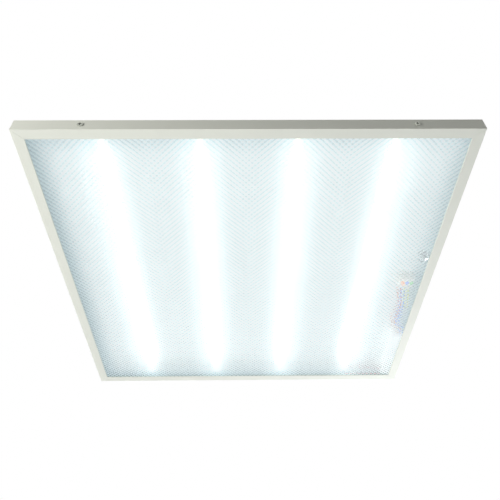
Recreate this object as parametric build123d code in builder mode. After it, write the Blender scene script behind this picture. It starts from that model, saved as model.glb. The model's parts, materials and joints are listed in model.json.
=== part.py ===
from build123d import *
import math
import os

# Recessed square troffer light: a shallow painted frame round a lit prismatic diffuser.
#
# Millimetres. The origin is the middle of the frame's lower face. +Z points up into the ceiling
# void, +Y towards the far side and +X to the right, as seen by someone who looks up at the light.
# An inset is a distance inwards from the frame's outer faces.

os.makedirs("parts", exist_ok=True)

# --- Frame -----------------------------------------------------------------------------------
PANEL_SIDE = 595.0          # outside of the frame, for a 600 mm ceiling grid
FRAME_DEPTH = 20.5          # face to back edge of the side walls
FLANGE_WIDTH = 14.7         # face flange, from the outer wall to the opening
FLANGE_THICKNESS = 1.2
WALL_THICKNESS = 1.0
FRAME_EDGE_RADIUS = 0.5
MITRE_GAP = 0.2             # hairline between two rails at a corner

KEY_CHANNEL_WIDTH = 7.2     # channel for the corner keys, along the inside of the wall
HOOK_THICKNESS = 0.8        # web and lip that close the channel
HOOK_LIP_REACH = 3.5

KEY_LEG = 32.0
KEY_CLEARANCE = 0.1         # on each side of a key, in its channel
KEY_END_CHAMFER = 1.4
KEY_STAKE_HOLE = 3.0        # side of the square holes into which the rails are staked
KEY_STAKE_INSET = 21.0      # from the key's corner

# --- Diffuser --------------------------------------------------------------------------------
DIFFUSER_THICKNESS = 2.0
DIFFUSER_EDGE_GAP = 0.6     # room for the sheet to grow when warm
DIFFUSER_LIP_GAP = 0.3      # between the sheet and the tray's lip above it

# --- Back tray -------------------------------------------------------------------------------
TRAY_SHEET = 0.5
TRAY_SIDE_GAP = 0.15        # between the tray's walls and the frame's
TRAY_RECESS = 1.2           # the tray's back lies this far inside the frame's back edge
TRAY_LIP_COVER = 1.5        # the lip stops this far short of the opening's edge
TRAY_BEND_RADIUS = 0.9
CORNER_SLIT_WIDTH = 1.0
CORNER_SLIT_LENGTH = 36.0
RIB_HEIGHT = 0.9
RIB_WIDTH = 16.0
RIB_END_INSET = 77.5
RIB_TAPER = 45.0

SUSPENSION_SIDE_INSET = 62.5    # holes for a hanging set
SUSPENSION_END_INSET = 13.5
SUSPENSION_HOLE_RADIUS = 2.5

# --- Side screws, two in the near wall and two in the far one --------------------------------
FRAME_SCREW_INSET = 85.5    # along the side, from the corner
FRAME_SCREW_HEAD_RADIUS = 3.8
FRAME_SCREW_HEAD_HEIGHT = 1.4
FRAME_SCREW_SHANK_RADIUS = 1.6
FRAME_SCREW_LENGTH = 6.5
FRAME_HOLE_CLEARANCE = 0.4
THREAD_CLEARANCE = 0.05     # a thread drawn plain, in its pilot hole
PAN_FACE_SHARE = 0.75       # a pan head's flat face, as a share of its seat
CROSS_RECESS_SHARE = 0.62   # cross recess, as a share of the head
CROSS_RECESS_WIDTH = 0.9
CROSS_RECESS_DEPTH = 1.0

# --- LED boards ------------------------------------------------------------------------------
BOARD_COUNT = 4
OUTER_BOARD_INSET = 105.5   # to the middle of the outermost boards
BOARD_END_INSET = 17.5
BOARD_WIDTH = 12.0
BOARD_THICKNESS = 1.0
LEDS_PER_BOARD = 32
LED_ROW_END = 10.0          # from the board's end to the middle of its last LED
LED_WIDTH = 2.8
LED_LENGTH = 3.5
LED_HEIGHT = 0.7
LUG_STEPS = (-9, 9)         # lugs stand midway between two LEDs, this many pitches out
LUG_WIDTH = 4.0
LUG_REACH = 1.4             # how far a lug laps over the board
LUG_SIDE_GAP = 0.2

CONNECTOR_WIDTH = 11.4
CONNECTOR_LENGTH = 7.7
CONNECTOR_HEIGHT = 3.6
CONNECTOR_ENTRY_PITCH = 2.7
CONNECTOR_ENTRY_DEPTH = 5.0
CONNECTOR_CHAMFER = 0.6

# --- Driver ----------------------------------------------------------------------------------
DRIVER_WIDTH = 24.0
DRIVER_LENGTH = 130.0
DRIVER_FAR_INSET = 12.5
DRIVER_WALL_GAP = 5.5       # between the case and the tray's wall
DRIVER_BASE_THICKNESS = 1.5
DRIVER_CASE_WALL = 1.2
DRIVER_CORNER = 1.2
DRIVER_EAR_WIDTH = 8.0
DRIVER_EAR_REACH = 6.0
CIRCUIT_BOARD_THICKNESS = 1.2
CIRCUIT_BOARD_EDGE_GAP = 0.5
CIRCUIT_BOARD_END_GAP = 3.0
STANDOFF_HEIGHT = 1.0
STANDOFF_WIDTH = 3.5
STANDOFF_SPAN_SHARE = 0.7   # spacing of the standoffs, as shares of the circuit board
STANDOFF_RUN_SHARE = 0.9
SNAP_TONGUE_LENGTH = 8.0
SNAP_TONGUE_THICKNESS = 0.8
SNAP_BUMP_LENGTH = 6.0
SNAP_BUMP_HEIGHT = 1.4
SNAP_BUMP_REACH = 0.7
SNAP_CLEARANCE = 0.2        # round a bump, in its window
SNAP_WINDOW_DROP = 1.2      # from the base to the window
SNAP_STATION = 39.0         # snaps and components: along the case, from its middle

CAN_SEAT_GAP = 0.05
COVER_COMPONENT_GAP = 0.45  # between the thickest capacitor and the cover
CHOKE_WIDTH = 9.0
CHOKE_HEIGHT = 7.0
CHOKE_FLANGE = 1.4
CHOKE_WINDING_STEP = 0.8
CHOKE_STATION = -44.0
INPUT_CAPACITOR_RADIUS = 4.2
INPUT_CAPACITOR_LENGTH = 15.0
INPUT_CAPACITOR_STATION = -26.0
TRANSISTOR_TAB_LENGTH = 15.5
TRANSISTOR_WIDTH = 10.0
TRANSISTOR_TAB_THICKNESS = 1.3
TRANSISTOR_BODY_LENGTH = 9.0
TRANSISTOR_BODY_HEIGHT = 3.2
TRANSISTOR_BODY_TAPER = 5.0
TRANSISTOR_HOLE_RADIUS = 1.8
TRANSISTOR_HOLE_INSET = 2.8
TRANSISTOR_STATION = -8.0
TRANSFORMER_CORE_WIDTH = 14.0
TRANSFORMER_CORE_LENGTH = 16.0
TRANSFORMER_HEIGHT = 7.0
BOBBIN_WIDTH = 18.0
BOBBIN_LENGTH = 9.0
BOBBIN_HEIGHT = 5.4
TRANSFORMER_CHAMFER = 0.6
TRANSFORMER_STATION = 12.0
OUTPUT_CAPACITOR_RADIUS = 4.0
OUTPUT_CAPACITOR_LENGTH = 13.0
OUTPUT_CAPACITOR_STATION = 36.0

CASE_SCREW_SHANK_RADIUS = 1.4
CASE_SCREW_HEAD_RADIUS = 2.8
CASE_SCREW_HEAD_HEIGHT = 1.8
CASE_SCREW_TIP_HEIGHT = 0.9  # how far a small screw comes through the tray's back
CASE_HOLE_CLEARANCE = 0.2

# --- Supply terminal -------------------------------------------------------------------------
POLES = ("live", "neutral", "earth")    # from left to right
TERMINAL_INSET = 34.5
TERMINAL_DRIVER_DISTANCE = 147.0    # from the driver's near end to the terminal's middle
TERMINAL_LENGTH = 24.0
TERMINAL_HEIGHT = 12.1
TERMINAL_SHELL = 1.5
TERMINAL_SIDE_WALL = 1.65
TERMINAL_POLE_WALL = 1.3    # between two poles' button wells
TERMINAL_EAR_LENGTH = 8.5
TERMINAL_EAR_THICKNESS = 2.5
SUPPLY_WALL = 5.0           # depth of the supply wires' entries
INNER_WALL = 4.0            # depth of the inner wires' entries
SUPPLY_ENTRY_WIDTH = 3.4
SUPPLY_FUNNEL = 0.8         # how much wider a supply entry's mouth is, on each side
SUPPLY_FUNNEL_TAPER = 45.0
CHAMBER_SIDE_STEP = 0.1     # a pole's chamber is this much narrower than its button's well
POLE_CHAMBER_HEIGHT = 4.8
CHAMBER_WIRE_DROP = 1.6     # the chamber's floor below the middle of the wires
BUSBAR_SIDE_GAP = 0.3
BUSBAR_END_GAP = 0.5
BUSBAR_THICKNESS = 0.8
BUSBAR_LUG_HEIGHT = 2.4
BUSBAR_LUG_SHARE = 0.6      # the lug's width, as a share of the bar's
BUSBAR_LUG_OFFSET = 1.5     # from the chamber's middle
CLAMP_THICKNESS = 0.35
CLAMP_SIDE_GAP = 0.6
CLAMP_FOLD_RADIUS = 0.6
CLAMP_FOLD_DROP = 2.0
CLAMP_TIP_DROP = 0.9
CLAMP_LENGTH = 5.6
CLAMP_INSET = 1.6           # from the chamber's supply end

BUTTON_WIDTH = 4.0
BUTTON_LENGTH = 6.0
BUTTON_TRAVEL = 1.5
BUTTON_PRESSED_PROUD = 0.1  # how far a pressed button still stands out
BUTTON_CLEARANCE = 0.15
BUTTON_SHOULDER = 0.45      # ledge all round that keeps the button in
BUTTON_SHOULDER_HEIGHT = 1.2
BUTTON_TIP_SHARE = 0.7      # the tip's outline, as a share of the stem's
BUTTON_TIP_TAPER = 12.0
BUTTON_CLAMP_GAP = 0.3      # between a pressed button's tip and the clamp
BUTTON_SEAT_GAP = 0.03
BUTTON_EDGE_CHAMFER = 0.3
BUTTON_SLOT_LENGTH = 2.4
BUTTON_SLOT_WIDTH = 0.8
BUTTON_SLOT_DEPTH = 0.5
BUTTON_SUPPLY_OFFSET = 9.5  # middle of the buttons, from the supply side's face

# --- Earth point and cable entry -------------------------------------------------------------
EARTH_INSET = 20.5
EARTH_DRIVER_DISTANCE = 67.0
STUD_RADIUS = 2.0
STUD_LENGTH = 6.6
STUD_HEAD_RADIUS = 3.5
STUD_HEAD_HEIGHT = 0.9
STUD_CHAMFER = 0.5
WASHER_RADIUS = 3.4
WASHER_TOOTH_REACH = 0.8
WASHER_TOOTH_WIDTH = 1.2
WASHER_TEETH = 8
WASHER_THICKNESS = 0.6
RING_RADIUS = 4.0
RING_THICKNESS = 0.8
RING_NECK_LENGTH = 2.0      # between the ring and its crimp barrel
RING_NECK_SHARE = 0.8       # the neck's width, as a share of the barrel's
RING_BARREL_LENGTH = 6.0
RING_BARREL_WALL = 0.4
NUT_ACROSS_FLATS = 7.0
NUT_HEIGHT = 3.2

GROMMET_INSET = 14.5
GROMMET_DRIVER_DISTANCE = 200.0
GROMMET_BORE_RADIUS = 4.25
GROMMET_NECK_RADIUS = 6.0
GROMMET_FLANGE_RADIUS = 8.0
GROMMET_LOWER_FLANGE = 2.0
GROMMET_UPPER_FLANGE = 1.2
GROMMET_BEVEL = 1.0
GROMMET_FIT = 0.1

# --- Wires -----------------------------------------------------------------------------------
MAINS_WIRE_RADIUS = 1.2
LED_WIRE_RADIUS = 0.8
WIRE_FACETS = 8
WIRE_HOLE_CLEARANCE = 0.15
WIRE_BOARD_GAP = 0.1        # between the wires and the circuit board above them
WIRE_END_IN_CASE = 7.5      # how far a wire reaches into the driver
WIRE_BEND_SHARE = 0.45      # how much of the shorter run a bend takes at each end
LIVE_EXIT_OFFSET = 3.0      # wire holes in the driver's ends, from its middle line
NEUTRAL_EXIT_OFFSET = 7.0
NEGATIVE_EXIT_OFFSET = -9.0
POSITIVE_EXIT_OFFSET = -5.0
JUMPER_INNER_RUN = 6.5      # from the boards' ends to the jumpers' two runs
JUMPER_OUTER_RUN = 10.0
FEED_INNER_RUN = 9.5
FEED_OUTER_RUN = 12.5
CLIP_WALL = 1.0
CLIP_LENGTH = 6.0
CLIP_SLIT = 1.2
FEED_CLIP_INSET = 82.5
FEED_TURN_LENGTH = 32.0     # over which the feed wires sink to the connectors' level

# --- Places worked out from the sizes above ----------------------------------------------------
HALF_SIDE = PANEL_SIDE / 2
HALF_OPENING = HALF_SIDE - FLANGE_WIDTH
HOOK_INNER_DEPTH = WALL_THICKNESS + KEY_CHANNEL_WIDTH + HOOK_THICKNESS
HOOK_TOP_Z = FLANGE_THICKNESS + DIFFUSER_THICKNESS + DIFFUSER_LIP_GAP
HOOK_LIP_Z = HOOK_TOP_Z - HOOK_THICKNESS
KEY_THICKNESS = HOOK_LIP_Z - FLANGE_THICKNESS - 2 * KEY_CLEARANCE

HALF_DIFFUSER = HALF_SIDE - HOOK_INNER_DEPTH - DIFFUSER_EDGE_GAP

HALF_TRAY = HALF_SIDE - WALL_THICKNESS - TRAY_SIDE_GAP
TRAY_INNER_HALF = HALF_TRAY - TRAY_SHEET
TRAY_BACK_Z = FRAME_DEPTH - TRAY_RECESS
TRAY_INNER_Z = TRAY_BACK_Z - TRAY_SHEET
HALF_LIP_OPENING = HALF_OPENING + TRAY_LIP_COVER
RIB_LENGTH = PANEL_SIDE - 2 * RIB_END_INSET

SIDE_SCREW_Z = FRAME_DEPTH / 2
SIDE_SCREW_PLACES = [(hand * (HALF_SIDE - FRAME_SCREW_INSET), SIDE_SCREW_Z) for hand in (-1, 1)]

BOARD_LENGTH = PANEL_SIDE - 2 * BOARD_END_INSET
BOARD_PITCH = (PANEL_SIDE - 2 * OUTER_BOARD_INSET) / (BOARD_COUNT - 1)
BOARD_XS = [BOARD_PITCH * (i - (BOARD_COUNT - 1) / 2) for i in range(BOARD_COUNT)]
LED_PITCH = (BOARD_LENGTH - 2 * LED_ROW_END) / (LEDS_PER_BOARD - 1)
LUG_YS = [step * LED_PITCH for step in LUG_STEPS]
BOARD_FACE_Z = TRAY_INNER_Z - BOARD_THICKNESS
CONNECTOR_ENTRY_Z = BOARD_FACE_Z - CONNECTOR_HEIGHT / 2
CONNECTOR_END_Y = BOARD_LENGTH / 2
ENTRY_OFFSETS = [CONNECTOR_ENTRY_PITCH * (i - 1.5) for i in range(4)]
LED_ENTRY_WIDTH = 2 * (LED_WIRE_RADIUS + WIRE_HOLE_CLEARANCE)
MAINS_ENTRY_WIDTH = 2 * (MAINS_WIRE_RADIUS + WIRE_HOLE_CLEARANCE)
WIRE_IN_CONNECTOR_Y = CONNECTOR_END_Y - CONNECTOR_ENTRY_DEPTH + WIRE_HOLE_CLEARANCE

DRIVER_X = TRAY_INNER_HALF - DRIVER_WALL_GAP - DRIVER_WIDTH / 2
DRIVER_FAR_Y = HALF_SIDE - DRIVER_FAR_INSET
DRIVER_NEAR_Y = DRIVER_FAR_Y - DRIVER_LENGTH
DRIVER_Y = (DRIVER_NEAR_Y + DRIVER_FAR_Y) / 2
DRIVER_BASE_Z = TRAY_INNER_Z - DRIVER_BASE_THICKNESS
CIRCUIT_BOARD_Z = DRIVER_BASE_Z - STANDOFF_HEIGHT - CIRCUIT_BOARD_THICKNESS
COMPONENT_ROOM = 2 * INPUT_CAPACITOR_RADIUS + CAN_SEAT_GAP + COVER_COMPONENT_GAP
DRIVER_FACE_Z = CIRCUIT_BOARD_Z - COMPONENT_ROOM - DRIVER_CASE_WALL
COVER_INNER_WIDTH = DRIVER_WIDTH - 2 * DRIVER_CASE_WALL
CIRCUIT_BOARD_WIDTH = COVER_INNER_WIDTH - 2 * CIRCUIT_BOARD_EDGE_GAP
CIRCUIT_BOARD_LENGTH = DRIVER_LENGTH - 2 * (DRIVER_CASE_WALL + CIRCUIT_BOARD_END_GAP)
SNAP_WINDOW_HEIGHT = SNAP_BUMP_HEIGHT + 2 * SNAP_CLEARANCE
SNAP_WINDOW_Z = DRIVER_BASE_Z - SNAP_WINDOW_DROP - SNAP_WINDOW_HEIGHT
SNAP_YS = [DRIVER_Y - SNAP_STATION, DRIVER_Y + SNAP_STATION]
EAR_OFFSET = (DRIVER_WIDTH - DRIVER_EAR_WIDTH) / 2
NEAR_EAR = (DRIVER_X - EAR_OFFSET, DRIVER_NEAR_Y - DRIVER_EAR_REACH / 2)
FAR_EAR = (DRIVER_X + EAR_OFFSET, DRIVER_FAR_Y + DRIVER_EAR_REACH / 2)

MAINS_WIRE_Z = CIRCUIT_BOARD_Z - WIRE_BOARD_GAP - MAINS_WIRE_RADIUS
LED_WIRE_Z = CIRCUIT_BOARD_Z - WIRE_BOARD_GAP - LED_WIRE_RADIUS
DRIVER_LIVE_X = DRIVER_X + LIVE_EXIT_OFFSET
DRIVER_NEUTRAL_X = DRIVER_X + NEUTRAL_EXIT_OFFSET
DRIVER_NEGATIVE_X = DRIVER_X + NEGATIVE_EXIT_OFFSET
DRIVER_POSITIVE_X = DRIVER_X + POSITIVE_EXIT_OFFSET

SLOT_WIDTH = BUTTON_WIDTH + 2 * BUTTON_CLEARANCE
SLOT_LENGTH = BUTTON_LENGTH + 2 * BUTTON_CLEARANCE
WELL_WIDTH = SLOT_WIDTH + 2 * BUTTON_SHOULDER
WELL_LENGTH = SLOT_LENGTH + 2 * BUTTON_SHOULDER
POLE_PITCH = WELL_WIDTH + TERMINAL_POLE_WALL
TERMINAL_WIDTH = (len(POLES) - 1) * POLE_PITCH + WELL_WIDTH + 2 * TERMINAL_SIDE_WALL
TERMINAL_X = HALF_SIDE - TERMINAL_INSET
TERMINAL_Y = DRIVER_NEAR_Y - TERMINAL_DRIVER_DISTANCE
TERMINAL_FACE_Z = TRAY_INNER_Z - TERMINAL_HEIGHT
TERMINAL_SUPPLY_Y = TERMINAL_Y - TERMINAL_LENGTH / 2
TERMINAL_INNER_Y = TERMINAL_Y + TERMINAL_LENGTH / 2
TERMINAL_EAR_X = TERMINAL_X - TERMINAL_WIDTH / 2 - TERMINAL_EAR_LENGTH / 2
POLE_XS = {pole: TERMINAL_X + POLE_PITCH * (i - 1) for i, pole in enumerate(POLES)}
CHAMBER_WIDTH = WELL_WIDTH - 2 * CHAMBER_SIDE_STEP
CHAMBER_NEAR_Y = TERMINAL_SUPPLY_Y + SUPPLY_WALL
CHAMBER_FAR_Y = TERMINAL_INNER_Y - INNER_WALL
CHAMBER_Y = (CHAMBER_NEAR_Y + CHAMBER_FAR_Y) / 2
CHAMBER_LENGTH = CHAMBER_FAR_Y - CHAMBER_NEAR_Y
CHAMBER_LOW_Z = MAINS_WIRE_Z - CHAMBER_WIRE_DROP
CHAMBER_TOP_Z = CHAMBER_LOW_Z + POLE_CHAMBER_HEIGHT
BUSBAR_WIDTH = CHAMBER_WIDTH - 2 * BUSBAR_SIDE_GAP
BUSBAR_Z = CHAMBER_TOP_Z - BUSBAR_THICKNESS
CLAMP_WIDTH = CHAMBER_WIDTH - 2 * CLAMP_SIDE_GAP
CLAMP_LEAF_Z = BUSBAR_Z - CLAMP_THICKNESS / 2
CLAMP_LOW_Z = CLAMP_LEAF_Z - CLAMP_FOLD_DROP - CLAMP_THICKNESS / 2
BUTTON_Y = TERMINAL_SUPPLY_Y + BUTTON_SUPPLY_OFFSET
BUTTON_LOW_Z = TERMINAL_FACE_Z - BUTTON_TRAVEL - BUTTON_PRESSED_PROUD
BUTTON_SHOULDER_Z = TERMINAL_FACE_Z + TERMINAL_SHELL + BUTTON_SEAT_GAP
BUTTON_TIP_Z = BUTTON_SHOULDER_Z + BUTTON_SHOULDER_HEIGHT
BUTTON_TOP_Z = CLAMP_LOW_Z - BUTTON_CLAMP_GAP - BUTTON_TRAVEL
WIRE_END_Y = CHAMBER_FAR_Y - MAINS_WIRE_RADIUS

EARTH_X = HALF_SIDE - EARTH_INSET
EARTH_Y = DRIVER_NEAR_Y - EARTH_DRIVER_DISTANCE
WASHER_Z = TRAY_INNER_Z - WASHER_THICKNESS
RING_Z = WASHER_Z - RING_THICKNESS
NUT_Z = RING_Z - NUT_HEIGHT
BARREL_BORE_RADIUS = MAINS_WIRE_RADIUS + WIRE_HOLE_CLEARANCE
BARREL_RADIUS = BARREL_BORE_RADIUS + RING_BARREL_WALL
BARREL_Z = RING_Z + RING_THICKNESS - BARREL_RADIUS
BARREL_FAR_Y = EARTH_Y - RING_RADIUS - RING_NECK_LENGTH
BARREL_NEAR_Y = BARREL_FAR_Y - RING_BARREL_LENGTH

GROMMET_X = HALF_SIDE - GROMMET_INSET
GROMMET_Y = DRIVER_NEAR_Y - GROMMET_DRIVER_DISTANCE


def finish(piece, label):
    """Name a finished piece and write it as its own file."""
    piece.label = label
    export_step(piece, f"parts/{label}.step")


# --- Frame -----------------------------------------------------------------------------------
def frame_rail(pierced):
    """The near rail: wall, face flange and hooked key channel, mitred; with screw holes or without."""
    mitre = MITRE_GAP / math.sqrt(2)
    hook_inner_y = -HALF_SIDE + HOOK_INNER_DEPTH
    with BuildPart() as rail:
        with BuildSketch(Plane.YZ.offset(-HALF_SIDE)) as profile:
            with BuildLine():
                Polyline(
                    (-HALF_SIDE, 0),
                    (-HALF_OPENING, 0),
                    (-HALF_OPENING, FLANGE_THICKNESS),
                    (hook_inner_y, FLANGE_THICKNESS),
                    (hook_inner_y, HOOK_TOP_Z),
                    (hook_inner_y - HOOK_LIP_REACH, HOOK_TOP_Z),
                    (hook_inner_y - HOOK_LIP_REACH, HOOK_LIP_Z),
                    (hook_inner_y - HOOK_THICKNESS, HOOK_LIP_Z),
                    (hook_inner_y - HOOK_THICKNESS, FLANGE_THICKNESS),
                    (-HALF_SIDE + WALL_THICKNESS, FLANGE_THICKNESS),
                    (-HALF_SIDE + WALL_THICKNESS, FRAME_DEPTH),
                    (-HALF_SIDE, FRAME_DEPTH),
                    close=True,
                )
            make_face()
            fillet(profile.vertices().group_by(Axis.Y)[0], FRAME_EDGE_RADIUS)
        extrude(amount=PANEL_SIDE)
        with BuildSketch():
            Polygon(
                (-HALF_SIDE + mitre, -HALF_SIDE),
                (HALF_SIDE - mitre, -HALF_SIDE),
                (0, -mitre),
                align=None,
            )
        extrude(amount=FRAME_DEPTH, mode=Mode.INTERSECT)
        if pierced:
            with BuildSketch(Plane.XZ.offset(HALF_SIDE)):
                with Locations(*SIDE_SCREW_PLACES):
                    Circle(FRAME_SCREW_SHANK_RADIUS + FRAME_HOLE_CLEARANCE)
            extrude(amount=-WALL_THICKNESS, mode=Mode.SUBTRACT)
    return rail.part


for quarter, side in enumerate(("near", "right", "far", "left")):
    rail = frame_rail(pierced=side in ("near", "far"))
    finish(rail.rotate(Axis.Z, 90 * quarter), f"frame_rail_{side}")


def corner_key():
    """L-shaped key of the near left corner, which slides into both rails' channels."""
    corner = -HALF_SIDE + WALL_THICKNESS + KEY_CLEARANCE
    width = KEY_CHANNEL_WIDTH - 2 * KEY_CLEARANCE
    middle = corner + width / 2
    with BuildPart() as key:
        with BuildSketch(Plane.XY.offset(FLANGE_THICKNESS)) as outline:
            with BuildLine():
                Polyline(
                    (corner, corner),
                    (corner + KEY_LEG, corner),
                    (corner + KEY_LEG, corner + width),
                    (corner + width, corner + width),
                    (corner + width, corner + KEY_LEG),
                    (corner, corner + KEY_LEG),
                    close=True,
                )
            make_face()
            leg_ends = outline.vertices().sort_by_distance((corner, corner))[-4:]
            chamfer(leg_ends, KEY_END_CHAMFER)
            stake = corner + KEY_STAKE_INSET
            with Locations((stake, middle), (middle, stake)):
                Rectangle(KEY_STAKE_HOLE, KEY_STAKE_HOLE, mode=Mode.SUBTRACT)
        extrude(amount=KEY_THICKNESS)
    return key.part


near_left_key = corner_key()
for quarter, corner_name in enumerate(("near_left", "near_right", "far_right", "far_left")):
    finish(near_left_key.rotate(Axis.Z, 90 * quarter), f"corner_key_{corner_name}")


def pan_screw(head_radius, head_height, shank_radius, length):
    """Pan-head screw blank along +Z: its seat at the origin, its head below, its tip at the top."""
    with BuildPart() as screw:
        with BuildSketch(Plane.XZ):
            with BuildLine():
                Polyline(
                    (0, -head_height),
                    (head_radius * PAN_FACE_SHARE, -head_height),
                    (head_radius, 0),
                    (shank_radius, 0),
                    (shank_radius, length),
                    (0, length),
                    close=True,
                )
            make_face()
        revolve(axis=Axis.Z)
    return screw.part


with BuildPart() as side_screw:
    add(
        pan_screw(
            FRAME_SCREW_HEAD_RADIUS, FRAME_SCREW_HEAD_HEIGHT, FRAME_SCREW_SHANK_RADIUS, FRAME_SCREW_LENGTH
        )
    )
    with BuildSketch(Plane.XY.offset(-FRAME_SCREW_HEAD_HEIGHT)):
        recess_span = 2 * FRAME_SCREW_HEAD_RADIUS * CROSS_RECESS_SHARE
        Rectangle(recess_span, CROSS_RECESS_WIDTH)
        Rectangle(CROSS_RECESS_WIDTH, recess_span)
    extrude(amount=CROSS_RECESS_DEPTH, mode=Mode.SUBTRACT)
with BuildPart() as frame_screws:
    with PolarLocations(0, 2):
        with Locations(
            *[Plane((x, -HALF_SIDE, z), x_dir=(1, 0, 0), z_dir=(0, 1, 0)) for x, z in SIDE_SCREW_PLACES]
        ):
            add(side_screw.part)
finish(frame_screws.part, "frame_screws")

# --- Diffuser --------------------------------------------------------------------------------
with BuildPart() as diffuser:
    with BuildSketch(Plane.XY.offset(FLANGE_THICKNESS)):
        Rectangle(2 * HALF_DIFFUSER, 2 * HALF_DIFFUSER)
    extrude(amount=DIFFUSER_THICKNESS)
finish(diffuser.part, "diffuser")

# --- Back tray -------------------------------------------------------------------------------
with BuildPart() as back_tray:
    with BuildSketch(Plane.XY.offset(HOOK_TOP_Z)):
        Rectangle(2 * HALF_TRAY, 2 * HALF_TRAY)
    extrude(amount=TRAY_BACK_Z - HOOK_TOP_Z)
    back_edges = back_tray.faces().sort_by(Axis.Z)[-1].edges()
    fillet(back_edges, TRAY_BEND_RADIUS)
    with BuildSketch(Plane.XY.offset(HOOK_TOP_Z + TRAY_SHEET)):
        Rectangle(2 * TRAY_INNER_HALF, 2 * TRAY_INNER_HALF)
    extrude(amount=TRAY_INNER_Z - HOOK_TOP_Z - TRAY_SHEET, mode=Mode.SUBTRACT)
    with BuildSketch(Plane.XY.offset(HOOK_TOP_Z)):
        Rectangle(2 * HALF_LIP_OPENING, 2 * HALF_LIP_OPENING)
    extrude(amount=TRAY_SHEET, mode=Mode.SUBTRACT)
    # the folded walls and lips part at the four corners
    with BuildSketch(Plane.XY.offset(HOOK_TOP_Z)):
        with PolarLocations(HALF_TRAY * math.sqrt(2), 4, start_angle=45):
            Rectangle(CORNER_SLIT_LENGTH, CORNER_SLIT_WIDTH)
    extrude(amount=TRAY_INNER_Z - HOOK_TOP_Z, mode=Mode.SUBTRACT)
    # stiffening ribs pressed outwards, between the boards
    rib_xs = [(left + right) / 2 for left, right in zip(BOARD_XS, BOARD_XS[1:])]
    rib_flank = TRAY_SHEET * math.tan(math.radians(RIB_TAPER / 2))
    with BuildSketch(Plane.XY.offset(TRAY_BACK_Z)):
        with Locations(*[(x, 0) for x in rib_xs]):
            SlotOverall(RIB_LENGTH, RIB_WIDTH, rotation=90)
    extrude(amount=RIB_HEIGHT, taper=RIB_TAPER)
    with BuildSketch(Plane.XY.offset(TRAY_INNER_Z)):
        with Locations(*[(x, 0) for x in rib_xs]):
            SlotOverall(RIB_LENGTH - 2 * rib_flank, RIB_WIDTH - 2 * rib_flank, rotation=90)
    extrude(amount=RIB_HEIGHT, taper=RIB_TAPER, mode=Mode.SUBTRACT)
    # lugs bent over both edges of each board, and the windows that they leave in the back
    leg_offset = (BOARD_WIDTH + TRAY_SHEET) / 2 + LUG_SIDE_GAP
    cap_width = LUG_REACH + LUG_SIDE_GAP + TRAY_SHEET
    cap_offset = BOARD_WIDTH / 2 - LUG_REACH + cap_width / 2
    window_width = cap_width + BOARD_THICKNESS
    window_offset = leg_offset + (TRAY_SHEET + window_width) / 2
    sides = [(x, hand) for x in BOARD_XS for hand in (-1, 1)]
    for lug_y in LUG_YS:
        with BuildSketch(Plane.XZ.offset(-lug_y - LUG_WIDTH / 2)):
            with Locations(*[(x + hand * leg_offset, TRAY_INNER_Z) for x, hand in sides]):
                Rectangle(TRAY_SHEET, BOARD_THICKNESS + TRAY_SHEET, align=(Align.CENTER, Align.MAX))
            with Locations(*[(x + hand * cap_offset, BOARD_FACE_Z) for x, hand in sides]):
                Rectangle(cap_width, TRAY_SHEET, align=(Align.CENTER, Align.MAX))
        extrude(amount=LUG_WIDTH)
    with BuildSketch(Plane.XY.offset(TRAY_INNER_Z)):
        with Locations(*[(x + hand * window_offset, y) for x, hand in sides for y in LUG_YS]):
            Rectangle(window_width, LUG_WIDTH)
    extrude(amount=TRAY_SHEET, mode=Mode.SUBTRACT)
    # holes in the back
    with BuildSketch(Plane.XY.offset(TRAY_INNER_Z)):
        suspension_spacing_x = PANEL_SIDE - 2 * SUSPENSION_SIDE_INSET
        suspension_spacing_y = PANEL_SIDE - 2 * SUSPENSION_END_INSET
        with GridLocations(suspension_spacing_x, suspension_spacing_y, 2, 2):
            Circle(SUSPENSION_HOLE_RADIUS)
        with Locations(NEAR_EAR, FAR_EAR, (TERMINAL_EAR_X, TERMINAL_Y)):
            Circle(CASE_SCREW_SHANK_RADIUS + THREAD_CLEARANCE)
        with Locations((EARTH_X, EARTH_Y)):
            Circle(STUD_RADIUS + THREAD_CLEARANCE)
        with Locations((GROMMET_X, GROMMET_Y)):
            Circle(GROMMET_NECK_RADIUS)
    extrude(amount=TRAY_SHEET, mode=Mode.SUBTRACT)
    # pilot holes in the near and far walls for the side screws
    with BuildSketch(Plane.XZ):
        with Locations(*SIDE_SCREW_PLACES):
            Circle(FRAME_SCREW_SHANK_RADIUS + THREAD_CLEARANCE)
    extrude(amount=HALF_TRAY, both=True, mode=Mode.SUBTRACT)
finish(back_tray.part, "back_tray")

# --- LED boards ------------------------------------------------------------------------------
with BuildPart() as led_board:
    with BuildSketch(Plane.XY.offset(BOARD_FACE_Z)):
        Rectangle(BOARD_WIDTH, BOARD_LENGTH)
    extrude(amount=BOARD_THICKNESS)

with BuildPart() as led_row:
    with BuildSketch(Plane.XY.offset(BOARD_FACE_Z - LED_HEIGHT)):
        with GridLocations(0, LED_PITCH, 1, LEDS_PER_BOARD):
            Rectangle(LED_WIDTH, LED_LENGTH)
    extrude(amount=LED_HEIGHT)

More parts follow.
